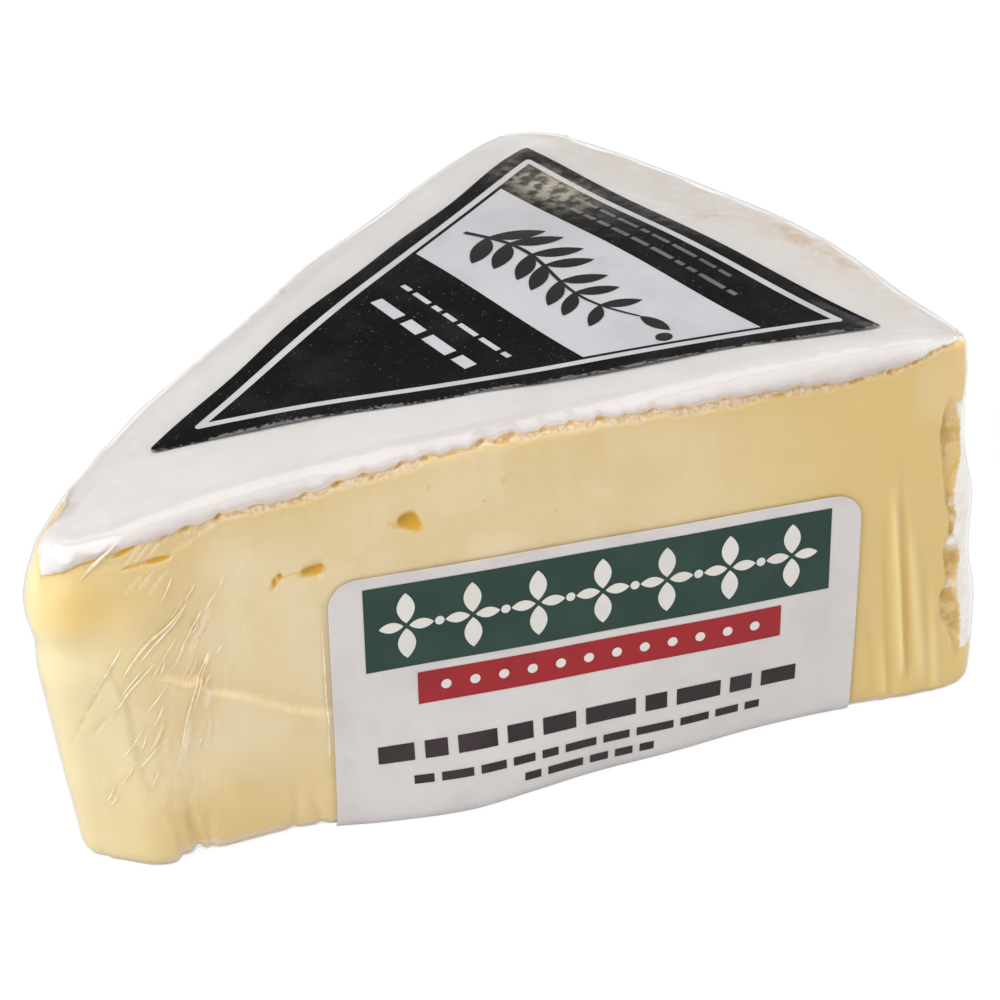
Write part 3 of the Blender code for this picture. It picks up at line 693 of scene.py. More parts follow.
# %% [markdown]
# ### Under the rind
#
# Right under the rind's end the paste is torn: it is set back from the rind, crumbs
# of rind and paste stick in it, and it has honey-coloured holes, one at each cusp
# and small ones in between. Further down the step fades into the smooth cut. At the
# tip the torn strip is wider, scratched, and has golden slits at its foot.

# %% The torn strip under the rind
ragged_share = torn_share + 0.35 * rough(wall, 0.9 * MM, 35.0)
torn_strip = ease(below, 0.02 * MM, 0.15 * MM) * (1 - ease(ragged_share, 0.6, 1.1))
step_fade = np.exp(-np.maximum(torn_share - 1, 0) / 2.2)
set_back = ease(below, -0.02 * MM, 0.2 * MM) * (0.12 * step_fade + 0.2 * (1 - ease(torn_share, 0.7, 1.1)))
crumbs = rough(wall, 0.6 * MM, 2.0)
crumbly = torn_strip * (0.15 + 0.85 * ease(wall_along, 21 * MM, 27 * MM))
bridged += np.where(on_cut, (set_back + 0.15 * crumbly * crumbs) * MM, 0)

for cusp, strength in zip(cusps, cusp_strength):
    for side, shift in (("near", 0.0), ("far", FAR_SHIFT)):
        columns = np.flatnonzero((side_names == side) & (np.abs(values + shift - cusp) < 2.0 * MM))
        wide, tall = (0.32 + 0.3 * strength) * MM, (0.2 + 0.2 * strength) * MM
        across = (values[columns] + shift - cusp) / wide
        down = (below[:, columns] - 0.35 * MM) / tall
        distance = np.hypot(across[None] + 0.4 * down, down)
        distance += 0.4 * rough(wall[:, columns], 0.6 * MM, 4.0)
        pit = 1 - ease(distance, 0.5, 1.05)
        bridged[:, columns] += 0.5 * MM * strength * pit
        honey[:, columns] = np.maximum(honey[:, columns], 0.55 * strength * pit)

small_holes = np.where(on_cut, crumbly * ease(rough(wall, 1.1 * MM, 31.0), 0.22, 0.5), 0)
bridged += 0.35 * MM * small_holes
honey = np.maximum(honey, 0.6 * small_holes)

# %% Golden slits and scratches at the tip
for start, end, half_width, gold, deep in (
        ((9.0, 36.0), (16.4, 37.8), 0.22, 0.55, 0.12), ((15.6, 37.2), (18.2, 38.3), 0.45, 0.75, 0.25),
        ((16.6, 35.9), (19.4, 36.2), 0.32, 0.6, 0.22), ((18.6, 36.0), (21.2, 36.3), 0.42, 1.0, 0.35),
        ((12.6, 22.2), (8.3, 16.1), 0.55, 0.42, 0.15), ((13.6, 19.8), (10.9, 16.7), 0.42, 0.42, 0.12),
        ((14.0, 24.5), (15.5, 19.2), 0.35, 0.3, 0.15), ((24.0, 28.9), (22.6, 28.6), 0.25, 0.3, 0.05)):
    line = streak(start, end, half_width) * (0.45 + 0.55 * ease(rough(wall, 0.7 * MM, 33.0), -0.4, 0.2))
    honey = np.maximum(honey, gold * line)
    bridged += deep * MM * line
scratches = np.zeros(wall.shape[:2])
for top_at, foot_at in (((18.9, 38.6), (16.8, 36.4)), ((19.8, 38.7), (17.9, 36.5)), ((20.6, 38.4), (19.1, 36.7)),
                        ((19.4, 35.2), (17.9, 33.5)), ((20.8, 35.0), (18.6, 32.6)), ((18.3, 35.1), (16.4, 33.2))):
    scratches = np.maximum(scratches, streak(top_at, foot_at, 0.22))
bridged += 0.10 * MM * scratches

# %% [markdown]
# ### The open groove behind the rim's rind
#
# At the wide end the paste has come away from the rim's rind. Between the two is a
# ragged tan groove, bridged here and there by bits of white. Above it the paste
# rounds over the corner, and below it a small flap of paste stands in front.

# %% Groove, and the paste's edge at the rim
GROOVE_AT = (3.5, 6.5, 9.3, 12.5, 14.3, 16.7, 18.4, 20, 22.2, 23.8, 26.4, 29.6, 31.8, 34.1, 36)
GROOVE_LEFT = (104.9, 104.6, 103.5, 103.3, 103.9, 103.6, 103.5, 104.1, 104, 103.8, 103.4, 103.1, 102.8, 103.0, 103.3)
GROOVE_RIGHT = (105.9, 105.8, 105.8, 105.4, 105.3, 105.8, 105.2, 104.8, 105, 104.7, 104.7, 105.5, 105.6, 105, 104.3)
GROOVE_SHIFT = 0.35 * MM
left = through(wall_height, GROOVE_AT, GROOVE_LEFT) + GROOVE_SHIFT + 0.22 * MM * rough(wall, 1.4 * MM, 6.0)
right = through(wall_height, GROOVE_AT, GROOVE_RIGHT) + GROOVE_SHIFT + 0.25 * MM * rough(wall, 1.1 * MM, 8.0)
groove = ease(wall_along, left - 0.1 * MM, left + 0.3 * MM) * (1 - ease(wall_along, right - 0.35 * MM, right))
groove = groove * ease(wall_height, 3.5 * MM, 6 * MM) * (1 - ease(wall_height, 34.5 * MM, 37 * MM))
bridge = hump(wall_height, 18.8 * MM, 0.7 * MM) + 0.8 * hump(wall_height, 13.4 * MM, 0.5 * MM)
flap = hump(wall_along, 104.4 * MM, 1.0 * MM) * (1 - ease(wall_height, 6.3 * MM, 7.8 * MM))
groove = np.where(on_face, groove * (1 - flap) * (1 - 0.75 * np.clip(bridge, 0, 1)), 0)
bridged += groove * (0.75 + 0.4 * rough(wall, 1.4 * MM, 11.0)) * MM

# %% [markdown]
# ### The bloom on the rind
#
# White mould grows in a felt with a faint pebbling. Low noise lifts it by a
# fraction of a millimetre, less under the label, which presses it flat.

# %% How deep each point lies inside the rind, in millimetres: below zero it is paste
FOOT_RIND_AT = (1, 8, 12.6, 15.4, 17.6, 21.6, 27.5, 36, 90, 97, 104, 109.6)
FOOT_RIND = (0.2, 0.2, 0.3, 0.4, 1.7, 1.7, 1.6, 1.4, 1.0, 1.0, 0.7, 1.2)
RIND_EVERYWHERE = 6.0
from_top = -below / MM
foot_line = np.where(on_face, through(wall_along, FOOT_RIND_AT, FOOT_RIND), 0.8 * MM)
from_foot = (foot_line + 0.35 * MM * rough(wall, 1.6 * MM, 13.0) - wall_height) / MM
from_rim = np.minimum(wall_along - right, np.minimum(36 * MM - wall_height, wall_height - 5 * MM)) / MM
from_rim = np.maximum(from_rim, (wall_along - 108.9 * MM) / MM)
wall_rind = np.maximum(from_top, from_foot)
wall_rind = np.where(on_face & (wall_along > 95 * MM), np.maximum(wall_rind, from_rim), wall_rind)
wall_rind = np.where(on_cut | on_corner, wall_rind, RIND_EVERYWHERE)
rind_depth = np.full((ROWS, COLUMNS), RIND_EVERYWHERE)
rind_depth[TOP_RINGS:] = np.clip(wall_rind, -RIND_EVERYWHERE, RIND_EVERYWHERE)
rind = ease(rind_depth, -0.08, 0.04)

# %% Bloom
bloom = 0.16 * MM * grain(smooth_form, 9 * MM, 19.0)
bloom[TOP_RINGS:] += 0.05 * MM * rough(wall, 2.4 * MM, 15.0) + 0.03 * MM * rough(wall, 0.9 * MM, 17.0)
rim_ripples = np.zeros((ROWS, COLUMNS))
on_rim = np.broadcast_to(side_names == "rim", wall.shape[:2])
rim_ripples[TOP_RINGS:] = np.where(on_rim, 0.2 * MM * np.sin(wall_along * 41 + wall_height / (6 * MM)), 0)

# %% Sink the marks into the form
def wide(numbers, rest=0.0):
    """Spread a wall's numbers over the whole grid, with rest on the top."""
    whole = np.full((ROWS, COLUMNS), rest)
    whole[TOP_RINGS:] = numbers
    return whole


depth = wide(followed + bridged)
at_foot = wide(1 - ease(wall_height, 1 * MM, 3.5 * MM))
depth += rind * (0.10 * MM - bloom) * (1 - at_foot) + np.abs(rim_ripples)
cheese_points = smooth_form.copy()
cheese_points[TOP_RINGS:] += slid
cheese_points -= normals * depth[..., None]
BASE_LIFT = 0.06 * MM
cheese_points[..., 2] = np.maximum(cheese_points[..., 2], BASE_LIFT)
print("cheese points:", ROWS * COLUMNS, "deepest pit in mm:", round(depth.max() / MM, 2))

# %% A helper that turns a closed grid into an object
def close_grid(name, points):
    """A closed skin from a grid of rows, its first row capped above and its last below."""
    rows, columns = points.shape[:2]
    flat = (points + wheel_middle).reshape(-1, 3)
    peak = points[0].mean(axis=0)
    peak[2] = points[0][:, 2].max()
    flat = np.vstack([flat, peak + wheel_middle])
    column = np.arange(columns)
    after = (column + 1) % columns
    faces = []
    for row in range(rows - 1):
        upper, lower = row * columns, (row + 1) * columns
        faces += np.column_stack([lower + column, lower + after, upper + after, upper + column]).tolist()
    faces += np.column_stack([column, after, np.full(columns, rows * columns)]).tolist()
    faces.append(((rows - 1) * columns + column[::-1]).tolist())
    mesh = bpy.data.meshes.new(name)
    mesh.from_pydata(flat.tolist(), [], faces)
    mesh.shade_smooth()
    thing = bpy.data.objects.new(name, mesh)
    bpy.context.scene.collection.objects.link(thing)
    return thing


def store(thing, name, numbers):
    """Keep one number for each point, for the material to read."""
    spare = len(thing.data.vertices) - numbers.size
    whole = np.append(numbers.ravel(), np.full(spare, numbers.ravel()[0])).astype(np.float32)
    thing.data.attributes.new(name, "FLOAT", "POINT").data.foreach_set("value", whole)


# %% Build the cheese and keep what its material needs
cheese = close_grid("cheese", cheese_points)
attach(cheese, "root")
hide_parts("cheese_wedge")

to_middle = np.hypot(wall[..., 0], wall[..., 1])
# the tip's paste is warmer, and painted paler and brighter as painted light for the side light it catches
warm_tip_and_painted_light = (1 - ease(to_middle, 9 * MM, 22 * MM)) * (0.6 + 0.4 * ease(wall_height, 20 * MM, 34 * MM))
gold_corner = ease(wall_along, 99 * MM, 104 * MM) * ease(wall_height, 33 * MM, 38 * MM)
golden = ease(wall_along, 62 * MM, 98 * MM) + 0.6 * (1 - ease(wall_height, 5 * MM, 15 * MM))
golden = np.clip(golden, 0, 1) * (1 - gold_corner) * (1 - warm_tip_and_painted_light)
fold_depth = upright_folds(wall_along, wall_height) / MM
# painted light: the rind beside the rim's groove is painted whiter, as if lit from the right
rim_rind_painted_light = ease(wall_along, 99 * MM, 104 * MM) * (1 - ease(wall_height, 34 * MM, 38 * MM))
# the foot's rind is a warm crust colour, lifted a little as painted light against the shade under the wedge
foot_crust_and_painted_light = ease(from_foot, -1, -0.2) * ease(wall_along, 15 * MM, 18 * MM)
groove_bits = ease(rough(wall, 0.9 * MM, 21.0), 0.05, 0.4) * ease(wall_along, right - 1.3 * MM, right - 0.5 * MM)
groove_bits = groove_bits * ease(wall_height, 17 * MM, 19 * MM) * (1 - ease(wall_height, 26 * MM, 29 * MM))
groove_bits = np.clip(groove * groove_bits + 0.8 * bridge * ease(wall_along, left, left + 0.4 * MM), 0, 1)
gold_tip = hump(wall_along, 12 * MM, 6 * MM) * hump(wall_height, 32.5 * MM, 4.5 * MM)
store(cheese, "rind_depth", rind_depth)
for name, numbers in (("honey", np.clip(honey, 0, 1)), ("warm_tip_and_painted_light", np.where(on_cut, warm_tip_and_painted_light, 0)),
                      ("under_rind", np.where(on_cut, step_fade, 0)), ("torn", np.where(on_cut, crumbly, 0)),
                      ("scratches", scratches), ("gold_corner", np.where(on_face, gold_corner, 0)),
                      ("golden", np.where(on_face, golden, 0)), ("groove", groove),
                      ("fold_ridge_painted_highlight", np.where(on_face, np.clip(-fold_depth, 0, 1), 0)),
                      ("fold_furrow_painted_shade", np.where(on_face, np.clip(fold_depth, 0, 1), 0)),
                      ("rim_rind_painted_light", np.where(on_face, rim_rind_painted_light, 0)),
                      ("foot_crust_and_painted_light", np.where(on_cut, foot_crust_and_painted_light, 0)),
                      ("groove_bits", groove_bits), ("gold_tip", np.where(on_face, gold_tip, 0))):
    store(cheese, name, wide(numbers))
# painted shade: the lip over the torn end is painted lavender grey, and the shoulder above it a little greyer, where
# the rind turns from the light
lip_painted_shade = 0.68 * (1 - ease(-below, 0.1 * MM, 1.4 * MM)) + 0.32 * (1 - ease(-below, 1.5 * MM, 5 * MM))
lip_painted_shade = lip_painted_shade * (1 - ease(wall_along, 97 * MM, 102 * MM))
store(cheese, "lip_painted_shade", wide(np.where(on_cut, lip_painted_shade * ease(wall_along, 6 * MM, 14 * MM), 0)))
RUST_PATCHES = ((102.5, -6.5, 1.6), (101.7, -9.2, 1.3), (103.1, -12.5, 2.0), (101.9, -16.8, 1.5), (98.5, 2.0, 1.8))
rust = 0.35 * ease(smooth_form[..., 0], 90 * MM, 104 * MM)
for x, y, size in RUST_PATCHES:
    rust += 0.8 * hump(np.hypot(smooth_form[..., 0] - x * MM, smooth_form[..., 1] - y * MM), 0, size * MM)
store(cheese, "rust", np.clip(rust, 0, 1))
print("cheese triangles:", 2 * (ROWS - 1) * COLUMNS + 2 * COLUMNS)

# %% [markdown]
# ## Materials
#
# A material in Blender is a little network of nodes. A class with one method for
# each kind of node keeps the recipes below short: they read as a list of steps.
# Colours are given as they look on a screen and are turned into light values.

# %% Colours as seen
def seen(red, green, blue):
    """A colour as it looks on a screen, from 0 to 255, as light values."""
    light = []
    for level in (red, green, blue):
        share = level / 255
        light.append(share / 12.92 if share <= 0.04045 else ((share + 0.055) / 1.055) ** 2.4)
    return (*light, 1.0)


# %% A recipe for a material
class Recipe:
    """One material and the nodes that it is made of."""

    def __init__(self, name):
        self.material = bpy.data.materials.new(name)
        self.material.use_nodes = True
        self.nodes = self.material.node_tree.nodes
        self.links = self.material.node_tree.links
        self.shader = self.nodes["Principled BSDF"]
        self.place = self.nodes.new("ShaderNodeTexCoord").outputs["Object"]

    def add(self, kind, **inputs):
        """A node, with each named input either linked or set."""
        node = self.nodes.new(kind)
        for name, value in inputs.items():
            self.feed(node.inputs[name.replace("_", " ")], value)
        return node

    def feed(self, socket, value):
        if isinstance(value, bpy.types.NodeSocket):
            self.links.new(value, socket)
        else:
            socket.default_value = value

    def noise(self, blobs, detail=2.0, stretch=None, turn=(0, 0, 0)):
        """Noise with blobs of this width in metres."""
        place = self.place
        if stretch:
            mapping = self.add("ShaderNodeMapping", Vector=place, Scale=stretch, Rotation=turn)
            place = mapping.outputs["Vector"]
        return self.add("ShaderNodeTexNoise", Vector=place, Scale=1 / blobs, Detail=detail).outputs["Fac"]

    def stored(self, name):
        """A number kept at each point of the mesh."""
        node = self.nodes.new("ShaderNodeAttribute")
        node.attribute_name = name
        return node.outputs["Fac"]

    def between(self, value, low, high, start=0.0, end=1.0):
        """Start below low, end above high, and a smooth ramp between."""
        node = self.nodes.new("ShaderNodeMapRange")
        node.interpolation_type = "SMOOTHSTEP"
        for name, given in (("Value", value), ("From Min", low), ("From Max", high),
                            ("To Min", start), ("To Max", end)):
            self.feed(node.inputs[name], given)
        return node.outputs["Result"]

    def work(self, operation, first, second=0.0):
        node = self.nodes.new("ShaderNodeMath")
        node.operation = operation
        self.feed(node.inputs[0], first)
        self.feed(node.inputs[1], second)
        return node.outputs["Value"]

    def mix(self, share, first, second):
        """Blend two colours."""
        node = self.nodes.new("ShaderNodeMix")
        node.data_type = "RGBA"
        self.feed(node.inputs[0], share)
        self.feed(node.inputs[6], first)
        self.feed(node.inputs[7], second)
        return node.outputs[2]

    def bump(self, height, distance, strength=1.0, under=None):
        node = self.add("ShaderNodeBump", Height=height, Distance=distance, Strength=strength)
        if under:
            self.links.new(under, node.inputs["Normal"])
        return node.outputs["Normal"]

    def finish(self, **inputs):
        """Feed the main shader and hand over the material."""
        for name, value in inputs.items():
            self.feed(self.shader.inputs[name.replace("_", " ")], value)
        return self.material


# %% [markdown]
# ### Paste and rind
#
# The paste is a pale butter yellow that lets light in a little: edges glow and
# shadows soften, which is what subsurface scattering does. It is warmer at the tip,
# where its brightness is partly painted light, and warmer under the rind. The rind is
# a chalky white. Close to its torn end it is painted lavender grey as painted shade on
# the lip, and beside the rim's groove it is painted whiter as painted light. It has
# rusty smears near the rim. One material blends all of them by the numbers kept in
# the mesh, so that the rind ends exactly where the mesh steps.

# %% The cheese's material
def cheese_material():
    recipe = Recipe("brie paste and rind")
    clouds = recipe.noise(9 * MM, 2)
    mottle = recipe.noise(1.6 * MM, 2)
    grains = recipe.noise(0.42 * MM, 1)
    paste = recipe.mix(recipe.between(clouds, 0.35, 0.65), seen(237, 217, 176), seen(230, 206, 156))
    paste = recipe.mix(recipe.between(mottle, 0.45, 0.75, 0, 0.35), paste, seen(236, 218, 180))
    # warmer tip, partly painted light
    paste = recipe.mix(recipe.stored("warm_tip_and_painted_light"), paste, seen(251, 238, 192))
    paste = recipe.mix(recipe.work("MULTIPLY", recipe.stored("gold_tip"), 0.8), paste, seen(244, 204, 108))
    paste = recipe.mix(recipe.work("MULTIPLY", recipe.stored("golden"), 0.95), paste, seen(229, 199, 127))
    # painted highlight on the fold ridges, and painted shade in the furrows between them
    paste = recipe.mix(recipe.stored("fold_ridge_painted_highlight"), paste, seen(250, 236, 180))
    paste = recipe.mix(recipe.stored("fold_furrow_painted_shade"), paste, seen(222, 192, 126))
    paste = recipe.mix(recipe.work("MULTIPLY", recipe.stored("gold_corner"), 0.85), paste, seen(236, 203, 138))
    paste = recipe.mix(recipe.work("MULTIPLY", recipe.stored("under_rind"), 0.6), paste, seen(219, 190, 122))
    paste = recipe.mix(recipe.work("MULTIPLY", recipe.stored("scratches"), 0.7), paste, seen(247, 230, 190))
    crumb = recipe.mix(recipe.between(grains, 0.36, 0.62), seen(216, 182, 128), seen(233, 217, 198))
    paste = recipe.mix(recipe.work("MULTIPLY", recipe.stored("torn"), 0.75), paste, crumb)
    tan = recipe.mix(recipe.between(mottle, 0.38, 0.62), seen(208, 170, 92), seen(232, 202, 138))
    paste = recipe.mix(recipe.stored("groove"), paste, tan)
    paste = recipe.mix(recipe.stored("groove_bits"), paste, seen(250, 246, 238))
    paste = recipe.mix(recipe.between(recipe.stored("honey"), 0.15, 0.75), paste, seen(218, 168, 22))
    white = recipe.mix(recipe.between(clouds, 0.3, 0.7), seen(231, 227, 224), seen(226, 222, 218))
    white = recipe.mix(recipe.between(mottle, 0.5, 0.8, 0, 0.5), white, seen(236, 234, 232))
    uneven = recipe.work("MULTIPLY", recipe.work("SUBTRACT", grains, 0.5), 0.5)
    depth = recipe.work("ADD", recipe.stored("rind_depth"), uneven)
    # painted shade on the rind's lip and shoulder
    lip = recipe.work("MULTIPLY", recipe.stored("lip_painted_shade"), recipe.between(mottle, 0.2, 0.6, 0.6, 1.0))
    white = recipe.mix(lip, white, seen(207, 196, 192))
    # painted light: whiter rind beside the rim's groove
    white = recipe.mix(recipe.stored("rim_rind_painted_light"), white, seen(250, 248, 245))
    rusty = recipe.work("MULTIPLY", recipe.stored("rust"), recipe.between(mottle, 0.35, 0.65, 0.15, 0.8))
    white = recipe.mix(rusty, white, seen(214, 182, 146))
    # crust at the foot, partly painted light
    white = recipe.mix(recipe.stored("foot_crust_and_painted_light"), white, seen(233, 211, 180))
    white = recipe.mix(recipe.between(depth, 0.0, 0.14, 0.45, 0), white, seen(205, 172, 128))
    colour = recipe.mix(recipe.between(depth, -0.06, 0.02), paste, white)
    skin = recipe.bump(mottle, 0.05 * MM, 0.6)
    recipe.shader.subsurface_method = "BURLEY"
    return recipe.finish(Base_Color=colour, Roughness=0.5, Subsurface_Weight=0.35,
                         Subsurface_Radius=(1.0, 0.62, 0.28), Subsurface_Scale=1.0 * MM,
                         Specular_IOR_Level=0.35, Normal=skin)


cheese.data.materials.append(cheese_material())

# %% [markdown]
# ## Clear film
#
# The film is a skin of its own over the smooth form. It follows the shallow marks,
# bridges the pits, and rises over the top label, which lies under it. Clear
# plastic is mostly see-through, with a mirror-like share that grows at grazing
# angles: a Transparent and a Glossy shader do just that, mixed by how much the skin
# faces away. The Fresnel node isn't used, because light that leaves through such a
# one-sided skin would be trapped inside, as if the cheese lay in solid glass.

# %% Where the labels lie
TOP_LABEL_LENGTH = 69.4 * MM
TOP_LABEL_HALF_ANGLE = math.radians(23.3)
TOP_LABEL_TURN = math.radians(-3.2)
TOP_LABEL_TIP = np.array([24.6, 3.55]) * MM
TOP_LABEL_SKEW = 0.045
TOP_LABEL_TIP_ROUNDING = 0.5 * MM
TOP_LABEL_CORNER = 0.7 * MM
LABEL_AXIS = np.array([math.cos(TOP_LABEL_TURN), math.sin(TOP_LABEL_TURN)])
LABEL_ACROSS = np.array([-LABEL_AXIS[1], LABEL_AXIS[0]])
LABEL_GAP = 0.10 * MM
PAPER = 0.12 * MM


def inside_top_label(plan_points):
    """How far inside the top label's outline each point lies, negative outside."""
    length = (plan_points - TOP_LABEL_TIP) @ LABEL_AXIS
    across = np.abs((plan_points - TOP_LABEL_TIP) @ LABEL_ACROSS)
    from_side = length * math.sin(TOP_LABEL_HALF_ANGLE) - across * math.cos(TOP_LABEL_HALF_ANGLE)
    return np.minimum(from_side, TOP_LABEL_LENGTH - length)


# %% Shape of the film
FILM_LIFT = 0.12 * MM
FILM_OVER_LABEL = 0.34 * MM
over_label = ease(inside_top_label(smooth_form[..., :2]), -1.2 * MM, 0.1 * MM)
over_label[TOP_RINGS + ABOVE_ROWS:] = 0
film_lift = FILM_LIFT + (FILM_OVER_LABEL - FILM_LIFT) * over_label
film_lift += 0.05 * MM * (1 + rough(smooth_form, 6 * MM, 23.0)) * (1 - over_label)
film_lift *= 1 - 0.5 * at_foot
film_lift -= wide(np.where(followed < 0, followed, 0.75 * followed))
film_points = smooth_form + normals * film_lift[..., None]
film_points[..., 2] = np.maximum(film_points[..., 2], 0)
film = close_grid("film_wrap", film_points)
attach(film, "root")
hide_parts("cheese_wedge")

# %% Milky haze on the film: smeared cheese with a painted reflection streak, and a painted sheen on the top label
PAINTED_SHEEN_PATCH = np.array([89.0, 19.0]) * MM
SMEAR_SHEEN_HEIGHT = np.array([7.9, 14.9, 26.3, 34.5]) * MM
SMEAR_SHEEN_ALONG = np.array([18.5, 20.5, 23.7, 29.0]) * MM
# a diagonal streak by the tip: partly cheese smeared on the film, partly a painted reflection
smear_sheen_line = np.interp(wall_height, SMEAR_SHEEN_HEIGHT, SMEAR_SHEEN_ALONG)
smear_and_painted_sheen = hump(wall_along, smear_sheen_line, 3.0 * MM) * ease(wall_height, 4 * MM, 11 * MM)
smear_and_painted_sheen = smear_and_painted_sheen * (1 - ease(wall_height, 29 * MM, 35 * MM))
smear_sheen_grain = np.stack([(wall_along - smear_sheen_line) / 0.7, wall_height / 5, np.zeros(wall.shape[:2])], axis=-1)
smear_and_painted_sheen = np.where(on_face, smear_and_painted_sheen * ease(rough(smear_sheen_grain, MM, 25.0), -0.2, 0.5), 0)
film_haze_and_painted_sheen = wide(smear_and_painted_sheen)
# painted sheen: a grey glint over the far corner of the black label, painted as milky film
to_patch = smooth_form[..., :2] - PAINTED_SHEEN_PATCH
film_haze_and_painted_sheen += hump(to_patch[..., 0], 0, 3 * MM) * hump(to_patch[..., 1], 0, 6.5 * MM) * over_label
store(film, "smear_and_painted_sheen", film_haze_and_painted_sheen)

# %% The film's material
def film_material():
    recipe = Recipe("clear film")
    crinkle = recipe.noise(5 * MM, 2, stretch=(1, 1, 0.35), turn=(0, 0.5, 0.3))
    pull = recipe.noise(1.3 * MM, 1, stretch=(1, 1, 0.25), turn=(0.3, 0.6, 0))
    skin = recipe.bump(crinkle, 0.35 * MM, 0.5)
    skin = recipe.bump(pull, 0.05 * MM, 0.5, skin)
    shine = recipe.add("ShaderNodeBsdfGlossy", Color=(1, 1, 1, 1), Roughness=0.16, Normal=skin)
    clear = recipe.add("ShaderNodeBsdfTransparent", Color=(1, 1, 1, 1))
    facing = recipe.add("ShaderNodeLayerWeight", Blend=0.5, Normal=skin).outputs["Facing"]
    mirror = recipe.work("ADD", recipe.work("MULTIPLY", recipe.work("POWER", facing, 5.0), 0.8), 0.045)
    plain = recipe.add("ShaderNodeMixShader", Fac=mirror)
    recipe.links.new(clear.outputs["BSDF"], plain.inputs[1])
    recipe.links.new(shine.outputs["BSDF"], plain.inputs[2])
    # milky white layer: smeared cheese, and painted sheen where it stands in for reflections
    milky_smear_and_sheen = recipe.add("ShaderNodeBsdfDiffuse", Color=seen(255, 245, 224))
    share = recipe.work("MULTIPLY", recipe.stored("smear_and_painted_sheen"), recipe.between(pull, 0.35, 0.65, 0.1, 0.5))
    whole = recipe.add("ShaderNodeMixShader", Fac=share)
    recipe.links.new(plain.outputs["Shader"], whole.inputs[1])
    recipe.links.new(milky_smear_and_sheen.outputs["BSDF"], whole.inputs[2])
    output = next(node for node in recipe.nodes if node.type == "OUTPUT_MATERIAL")
    recipe.links.new(whole.outputs["Shader"], output.inputs["Surface"])
    recipe.nodes.remove(recipe.shader)
    return recipe.material


film.data.materials.append(film_material())

# %% [markdown]
# ### Creases in the film
#
# Pulled film gathers in fine creases, thinner than the skin's grid can follow; their fine bright lines are a painted
# highlight that stands in for the glints.
# Each crease is a piece of its own: a low three-sided strip along a smooth curve,
# which thins out at both ends and follows the skin because every point of it is
# looked up on the film.

# %% A place on the film over the near face or the tip
face_columns = np.flatnonzero(np.isin(side_names, ["tip", "near"]))
face_columns = face_columns[np.argsort(values[face_columns])]
face_film = film_points[TOP_RINGS:, face_columns][::-1]
face_out = normals[TOP_RINGS:, face_columns][::-1]


def on_film(along, height, lift):
    """A point on the film, lifted off it."""
    spot = np.interp(along, values[face_columns], np.arange(len(face_columns)))
    first = min(int(spot), len(face_columns) - 2)
    ends = []
    for column in (first, first + 1):
        line = face_film[:, column] + lift * face_out[:, column]
        ends.append(np.array([np.interp(height, line[:, 2], line[:, axis]) for axis in range(3)]))
    return ends[0] + (spot - first) * (ends[1] - ends[0])


# %% The creases
CREASES = (
    (((16.2, 38.9), (14.1, 37.2), (12.2, 35.5)), 0.17),
    (((22.4, 31.2), (20.1, 28.7), (17.9, 27.1), (16.3, 25.4), (14.8, 23.2)), 0.15),
    (((21.8, 30.0), (19.9, 28.0), (18.0, 26.3), (16.7, 25.0)), 0.10),
    (((15.3, 27.0), (13.9, 24.9), (12.2, 22.5)), 0.13),
    (((18.3, 24.8), (16.5, 23.0), (14.9, 21.2), (13.5, 19.0)), 0.13),
    (((17.4, 24.7), (15.8, 22.9), (14.3, 21.0)), 0.09),
    (((35.6, 28.5), (35.4, 22.0), (35.2, 14.0), (34.9, 6.0)), 0.08),
    (((21.0, 27.4), (19.2, 25.0), (17.6, 22.6)), 0.08),
    (((23.4, 29.6), (22.0, 27.2), (20.6, 24.9)), 0.08),
    (((23.6, 24.6), (22.2, 21.4), (20.9, 17.6), (20.0, 14.2)), 0.09),
    (((24.6, 26.0), (23.0, 22.4), (21.6, 18.4)), 0.07),
)
FINE_CREASES = 30


def fine_creases():
    """Short faint creases at the tip, all pulled roughly the same way."""
    lines = []
    for _ in range(FINE_CREASES):
        height = rng.uniform(8, 33)
        along = 12 + 0.38 * height + rng.normal(0, 2.4)
        heading, length = math.radians(rng.uniform(50, 68)), rng.uniform(1.0, 4.2)
        run = np.array([math.cos(heading), math.sin(heading)]) * length
        lines.append((((along, height), (along + run[0] * 0.5 + 0.1, height + run[1] * 0.5),
                       (along + run[0], height + run[1])), rng.uniform(0.05, 0.12)))
    return lines


def crease_strip(corners, half_width, points, faces):
    """Add one tapered strip along the corners to the mesh."""
    corners = np.array(corners)
    spacing = np.concatenate([[0], np.cumsum(np.linalg.norm(np.diff(corners, axis=0), axis=1))])
    steps = np.linspace(0, spacing[-1], max(int(spacing[-1] / 0.35), 6))
    path = np.column_stack([through(steps * MM, spacing, corners[:, axis]) for axis in (0, 1)])
    ahead = np.gradient(path, axis=0)
    ahead /= np.linalg.norm(ahead, axis=1, keepdims=True)
    thin = np.sin(np.pi * np.linspace(0.06, 0.94, len(path))) ** 0.7 * half_width * MM
    first = len(points)
    for (along, height), (run, rise), width in zip(path, ahead, thin):
        for side, lift in ((-1, -0.01 * MM), (0, 0.22 * width), (1, -0.01 * MM)):
            points.append(on_film(along - side * rise * width, height + side * run * width, lift) + wheel_middle)
    for start in range(first, len(points) - 3, 3):
        for one, two in ((0, 1), (1, 2), (2, 0)):
            faces.append((start + one, start + two, start + 3 + two, start + 3 + one))
    faces += [(first + 2, first + 1, first), (len(points) - 3, len(points) - 2, len(points) - 1)]


